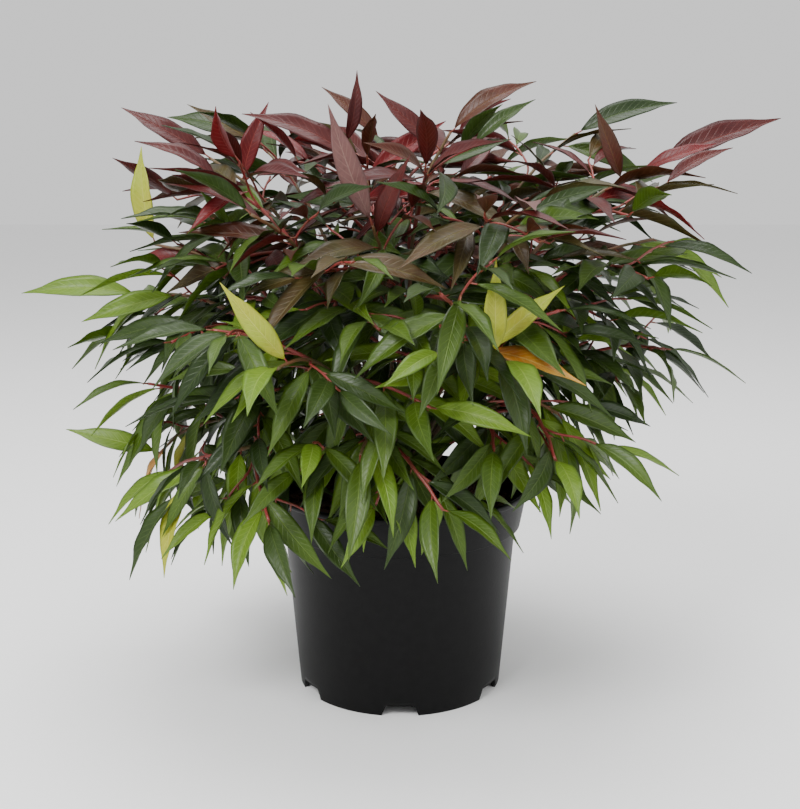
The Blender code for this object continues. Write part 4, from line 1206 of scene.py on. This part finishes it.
def bark_chips():
    """Many chips of bark lying on the mix.

    Each is a slab of eight corners, its sides drawn in unevenly, turned at random and tipped a little.
    """
    dice = np.random.default_rng(SEED)
    radius = np.sqrt(dice.uniform(CHIPS_FROM**2, (MIX_EDGE_RADIUS - CHIP_EDGE_GAP) ** 2, CHIP_COUNT))
    bearing = dice.uniform(0.0, 2 * math.pi, CHIP_COUNT)
    size = dice.uniform(*CHIP_SIZES, (CHIP_COUNT, 1)) * np.array(CHIP_HALF_SIZE)
    signs = np.array([(x, y, z) for z in (-1, 1) for x, y in SQUARE], dtype=float)
    corners = signs[None] * size[:, None, :] * dice.uniform(*CHIP_CORNERS, (CHIP_COUNT, 8, 3))
    turn = dice.uniform(0.0, 2 * math.pi, CHIP_COUNT)
    tip = dice.normal(0.0, CHIP_TIP, (CHIP_COUNT, 2))
    x = corners[..., 0] * np.cos(turn)[:, None] - corners[..., 1] * np.sin(turn)[:, None]
    y = corners[..., 0] * np.sin(turn)[:, None] + corners[..., 1] * np.cos(turn)[:, None]
    z = corners[..., 2] + x * tip[:, :1] + y * tip[:, 1:]
    place = np.stack([radius * np.sin(bearing), -radius * np.cos(bearing)], axis=1)
    slope = ((radius - SOIL_TOP_RADIUS) / (MIX_EDGE_RADIUS - SOIL_TOP_RADIUS)).clip(0.0)
    lie = SOIL_TOP - SOIL_RISE * slope + dice.uniform(*CHIP_HEIGHTS, CHIP_COUNT)
    points = np.stack([x + place[:, :1], y + place[:, 1:], z + lie[:, None]], axis=-1)
    box = np.array([(3, 2, 1, 0), (4, 5, 6, 7), (0, 1, 5, 4), (1, 2, 6, 5), (2, 3, 7, 6), (3, 0, 4, 7)])
    faces = np.arange(CHIP_COUNT)[:, None, None] * 8 + box[None]
    return points, faces.reshape(-1, 4)


def ripple_bark(points):
    """Ridges and hollows in the stock's bark: noise stretched upwards, in or out from its middle."""
    relief = layered_noise(points * np.array(BARK_STRETCH), BARK_RIDGES)
    points[..., :2] *= 1.0 + relief[..., None]
    return points


def value_maths(nodes, links, operation, first, second=None):
    """A Math node of two inputs, each a socket or a number, and its output."""
    node = nodes.new("ShaderNodeMath")
    node.operation = operation
    for socket, given in zip(node.inputs, (first, second)):
        if isinstance(given, (int, float)):
            socket.default_value = given
        elif given is not None:
            links.new(given, socket)
    return node.outputs[0]


def new_group(name, inputs, outputs):
    """A node group with named numbers in and out: its nodes, its links, and both ends' sockets."""
    group = bpy.data.node_groups.new(name, "ShaderNodeTree")
    for label, value in inputs:
        socket = group.interface.new_socket(name=label, in_out="INPUT", socket_type="NodeSocketFloat")
        socket.default_value = value
    for label in outputs:
        group.interface.new_socket(name=label, in_out="OUTPUT", socket_type="NodeSocketFloat")
    given = group.nodes.new("NodeGroupInput").outputs
    wanted = group.nodes.new("NodeGroupOutput").inputs
    return group.nodes, group.links, given, wanted


def make_vein_group():
    """Leaf veins on the blade's own UV map: a midrib, and slanting side veins that fade outwards."""
    nodes, links, given, wanted = new_group("leaf veins", VEIN_INPUTS, ("Vein Mask", "Margin Mask", "Relief"))

    def maths(operation, first, second=None):
        return value_maths(nodes, links, operation, first, second)

    place = nodes.new("ShaderNodeUVMap")
    place.uv_map = "UVMap"
    split = nodes.new("ShaderNodeSeparateXYZ")
    links.new(place.outputs["UV"], split.inputs["Vector"])
    off = maths("ABSOLUTE", maths("SUBTRACT", maths("MULTIPLY", split.outputs["X"], 2.0), 1.0))
    rib = maths("SUBTRACT", 1.0, maths("DIVIDE", off, given["Midrib Width"]))
    rib = maths("MAXIMUM", rib, 0.0)
    slid = maths("SUBTRACT", split.outputs["Y"], maths("MULTIPLY", off, given["Slant"]))
    turns = maths("MULTIPLY", maths("MULTIPLY", slid, given["Side Veins"]), 2 * math.pi)
    side = maths("POWER", maths("MAXIMUM", maths("COSINE", turns), 0.0), SIDE_VEIN_SHARPNESS)
    side = maths("MULTIPLY", side, maths("SUBTRACT", 1.0, maths("POWER", off, SIDE_VEIN_FADE)))
    veins = maths("MAXIMUM", rib, maths("MULTIPLY", side, SIDE_VEIN_STRENGTH))
    links.new(veins, wanted["Vein Mask"])
    links.new(maths("POWER", off, MARGIN_SHARPNESS), wanted["Margin Mask"])
    links.new(maths("SUBTRACT", 1.0, veins), wanted["Relief"])


def make_mottle_group():
    """Noise in the object's own coordinates between a dark and a light share, for uneven colour."""
    nodes, links, given, wanted = new_group("mottle", MOTTLE_INPUTS, ("Mask",))
    place = nodes.new("ShaderNodeTexCoord")
    noise = nodes.new("ShaderNodeTexNoise")
    spread = nodes.new("ShaderNodeMapRange")
    links.new(place.outputs["Object"], noise.inputs["Vector"])
    links.new(given["Scale"], noise.inputs["Scale"])
    links.new(given["Detail"], noise.inputs["Detail"])
    links.new(noise.outputs["Fac"], spread.inputs["Value"])
    links.new(given["Low"], spread.inputs["From Min"])
    links.new(given["High"], spread.inputs["From Max"])
    links.new(spread.outputs["Result"], wanted["Mask"])


def plain_material(name, colour, roughness, coat=0.0):
    """A Principled material of one colour, to build on."""
    material = bpy.data.materials.new(name)
    material.use_nodes = True
    shader = material.node_tree.nodes["Principled BSDF"]
    shader.inputs["Base Color"].default_value = (*colour, 1.0)
    shader.inputs["Roughness"].default_value = roughness
    shader.inputs["Coat Weight"].default_value = coat
    return material


def mixed(nodes, links, mask, first, second):
    """A colour mix by a mask; each colour is a socket or three numbers."""
    node = nodes.new("ShaderNodeMix")
    node.data_type = "RGBA"
    links.new(mask, node.inputs["Factor"])
    for socket, colour in ((node.inputs[6], first), (node.inputs[7], second)):
        if isinstance(colour, tuple):
            socket.default_value = (*colour, 1.0)
        else:
            links.new(colour, socket)
    return node.outputs[2]


def mottle(nodes, scale, detail=3.0, low=0.35, high=0.65):
    """The mottle group placed in a material with its own values; gives its mask."""
    node = nodes.new("ShaderNodeGroup")
    node.node_tree = bpy.data.node_groups["mottle"]
    for socket, given in zip(node.inputs, (scale, detail, low, high)):
        socket.default_value = given
    return node.outputs["Mask"]


def add_relief(material, height, strength, distance):
    """Bumps on a material's surface, from the output of a mask."""
    nodes, links = material.node_tree.nodes, material.node_tree.links
    bump = nodes.new("ShaderNodeBump")
    bump.inputs["Strength"].default_value = strength
    bump.inputs["Distance"].default_value = distance
    links.new(height, bump.inputs["Height"])
    links.new(bump.outputs["Normal"], nodes["Principled BSDF"].inputs["Normal"])


def leaf_material(name, blade, blush, vein, roughness):
    """Leathery leaf: a blade colour that shifts to its blush, paler veins, and veins sunk in relief."""
    material = plain_material(name, blade, roughness, LEAF_COAT)
    nodes, links = material.node_tree.nodes, material.node_tree.links
    shader = nodes["Principled BSDF"]
    shader.inputs["Coat Roughness"].default_value = LEAF_COAT_ROUGHNESS
    shader.inputs["Specular IOR Level"].default_value = LEAF_SPECULAR
    veins = nodes.new("ShaderNodeGroup")
    veins.node_tree = bpy.data.node_groups["leaf veins"]
    colour = mixed(nodes, links, mottle(nodes, *BLUSH_MOTTLE), blade, blush)
    darker = tuple(SPECKLE_SHADE * channel for channel in blade)
    colour = mixed(nodes, links, mottle(nodes, *SPECKLE_MOTTLE), colour, darker)
    colour = mixed(nodes, links, veins.outputs["Vein Mask"], colour, vein)
    colour = mixed(nodes, links, veins.outputs["Margin Mask"], colour, darker)
    links.new(colour, shader.inputs["Base Color"])
    add_relief(material, veins.outputs["Relief"], *VEIN_BUMP)
    return material


def grained_material(name):
    """Bark, mix, plastic or stem: two colours through the mottle, and fine relief of its own."""
    first, second, roughness, scale, depth, specular = GRAINED_FINISHES[name]
    material = plain_material(name, first, roughness)
    nodes, links = material.node_tree.nodes, material.node_tree.links
    shader = nodes["Principled BSDF"]
    shader.inputs["Specular IOR Level"].default_value = specular
    links.new(mixed(nodes, links, mottle(nodes, scale), first, second), shader.inputs["Base Color"])
    add_relief(material, mottle(nodes, scale * GRAIN_CLOSER, *GRAIN_MOTTLE), GRAIN_STRENGTH, depth)
    return material


def odds_for(colour, height):
    """The odds that a leaf's colour is drawn by: its spray's, or greener ones where it grows lower."""
    while colour in GREENER_BELOW and height < GREENER_BELOW[colour][0]:
        colour = GREENER_BELOW[colour][1]
    return zip(*COLOUR_ODDS[colour])


def deal_leaves(leaves):
    """Every leaf with its colour group, drawn within a spray by the odds for its height."""
    dealt = {name: [] for name in LEAF_FINISHES}
    for spray in SPRAYS:
        dice = random.Random(f"{SEED} colours of {spray.name}")
        own = LEADING_COLOURS.get(spray.name, ())
        for place, leaf in enumerate(leaves[spray.name]):
            names, odds = odds_for(spray.colour, leaf.root.z)
            drawn = dice.choices(names, odds)[0]
            dealt[own[place] if place < len(own) else drawn].append(leaf)
    return dealt


def make_foliage(leaves):
    """The blades, one piece for each leaf colour, and all their stalks."""
    for place, (name, own) in enumerate(deal_leaves(leaves).items()):
        *looks, slot = LEAF_FINISHES[name]
        points, faces, uv = leaf_blades(own, np.random.default_rng(SEED + place))
        piece = new_piece(name + "_leaves", points, faces, leaf_material(name + "_leaf", *looks), uv)
    every = [leaf for own in leaves.values() for leaf in own]
    piece = new_piece("leaf_stalks", *leaf_stalks(every), grained_material("red_stalk"))


def make_limbs(limbs, shoots, twigs):
    """Boughs with bark relief, leading shoots, side shoots and fine twigs."""
    young = grained_material("young_stem")
    bough_radii = taper(BOUGH_FOOT_RADIUS, BOUGH_TIP_RADIUS, BOUGH_RINGS)
    boughs = [round_limb(curve_points(limbs[spray.name], 0.0, BOUGH_SHARE, BOUGH_RINGS),
                         bough_radii, rings=44, sides=12, relief=0.10)
              for spray in SPRAYS]
    piece = limb_piece("bough_bark", boughs, grained_material("thin_bark"))
    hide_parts(*["bough_" + spray.name for spray in SPRAYS])
    leads = [round_limb(own[0].path, own[0].radii, rings=40, sides=10, relief=0.05, kink=0.0006)
             for own in shoots.values()]
    piece = limb_piece("leading_shoots", leads, grained_material("ripening_stem"))
    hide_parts(*["spray_" + spray.name for spray in SPRAYS])
    sides = [round_limb(shoot.path, shoot.radii, rings=24, sides=8, relief=0.04, kink=0.0005)
             for own in shoots.values() for shoot in own[1:]]
    limb_piece("side_shoots", sides, young)
    fine = [round_limb(twig.path, twig.radii, rings=14, sides=7, kink=0.0003)
            for own in twigs.values() for twig in own]
    limb_piece("fine_twigs", fine, young)


def make_pot():
    """The pot's wall and its floor."""
    plastic = grained_material("black_plastic")
    wall = turned_piece("pot_wall", pot_section(), WALL_SIDES, plastic, notch_foot)
    floor = new_piece("pot_floor", *floor_plates(), plastic, smooth=False)
    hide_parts("nursery_pot")
    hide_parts("nursery_pot")


def make_mix():
    """The mix, filled up from the pot's floor, and the chips of bark on it."""
    low = FLOOR_HEIGHT + POT_WALL + FIT_GAP
    band_foot = POT_HEIGHT - BAND_HEIGHT
    edge = SOIL_TOP - SOIL_RISE
    side = [(0.0, low), (pot_inner_radius(low) - 2 * FIT_GAP, low),
            (WALL_TOP_RADIUS - POT_WALL - 2 * FIT_GAP, band_foot + POT_WALL / 2),
            (BAND_FOOT_RADIUS - POT_WALL - FIT_GAP, band_foot + 2 * POT_WALL + 2 * FIT_GAP)]
    top = [(radius, edge + SOIL_RISE * ramp(MIX_EDGE_RADIUS, SOIL_TOP_RADIUS, radius))
           for radius in np.linspace(MIX_EDGE_RADIUS, 0.0, MIX_RINGS)]
    earth = grained_material("potting_mix")
    mix = turned_piece("potting_mix", side + top, MIX_SIDES, earth, mix_surface, wrap=False)
    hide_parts("growing_mix")
    chips = new_piece("bark_chips", *bark_chips(), grained_material("bark_chip"), smooth=False)


def make_stock():
    """The short woody stock: a flare that shrinks with the square of its height, then a plain stem."""
    foot = SOIL_TOP + FIT_GAP
    stock = [(0.0, foot), (STOCK_FOOT_RADIUS, foot)]
    stock += [(STOCK_RADIUS + (STOCK_FOOT_RADIUS - STOCK_RADIUS) * (1.0 - share) ** 2,
               foot + STOCK_HEIGHT * STOCK_FLARE_SHARE * share) for share in np.linspace(0.1, 1.0, 9)]
    stock += [(STOCK_RADIUS, foot + STOCK_HEIGHT * share)
              for share in np.linspace(STOCK_PLAIN_FROM, STOCK_SHOULDER_SHARE, 22)]
    stock += [(STOCK_TOP_RADIUS, foot + STOCK_HEIGHT), (0.0, foot + STOCK_HEIGHT)]
    bark = grained_material("stock_bark")
    piece = turned_piece("stock_bark", stock, STOCK_ROUND_SIDES, bark, ripple_bark, wrap=False)
    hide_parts("woody_stock")


def set_stage():
    """A pale floor, soft studio lights, and a camera where the photograph was taken from."""
    mesh = bpy.data.meshes.new("floor")
    corners = [(x * FLOOR_SIZE, y * FLOOR_SIZE, 0.0) for x, y in SQUARE]
    mesh.from_pydata(corners, [], [(0, 1, 2, 3)])
    mesh.materials.append(plain_material("pale_floor", FLOOR_COLOUR, FLOOR_ROUGHNESS))
    floor = placed("floor", mesh)
    for name, place, power, width in STUDIO_LIGHTS:
        lamp = bpy.data.lights.new(name, "AREA")
        lamp.energy = power
        lamp.size = width
        light = placed(name, lamp)
        light.location = place
        light.rotation_euler = (LIGHTS_AIM - Vector(place)).to_track_quat("-Z", "Y").to_euler()
    world = bpy.data.worlds.new("studio")
    world.use_nodes = True
    background = world.node_tree.nodes["Background"]
    background.inputs["Color"].default_value = (1.0, 1.0, 1.0, 1.0)
    background.inputs["Strength"].default_value = WORLD_LIGHT
    bpy.context.scene.world = world
    lens = bpy.data.cameras.new("camera")
    lens.sensor_width = CAMERA_SENSOR
    lens.lens = CAMERA_LENS
    camera = placed("camera", lens)
    camera.location = CAMERA_PLACE
    camera.rotation_euler = (math.pi / 2 - CAMERA_DIP, 0.0, 0.0)
    bpy.context.scene.camera = camera


make_vein_group()
make_mottle_group()
limbs, shoots, twigs, leaves = grow_plant()
make_foliage(leaves)
make_limbs(limbs, shoots, twigs)
make_pot()
make_mix()
make_stock()
set_stage()
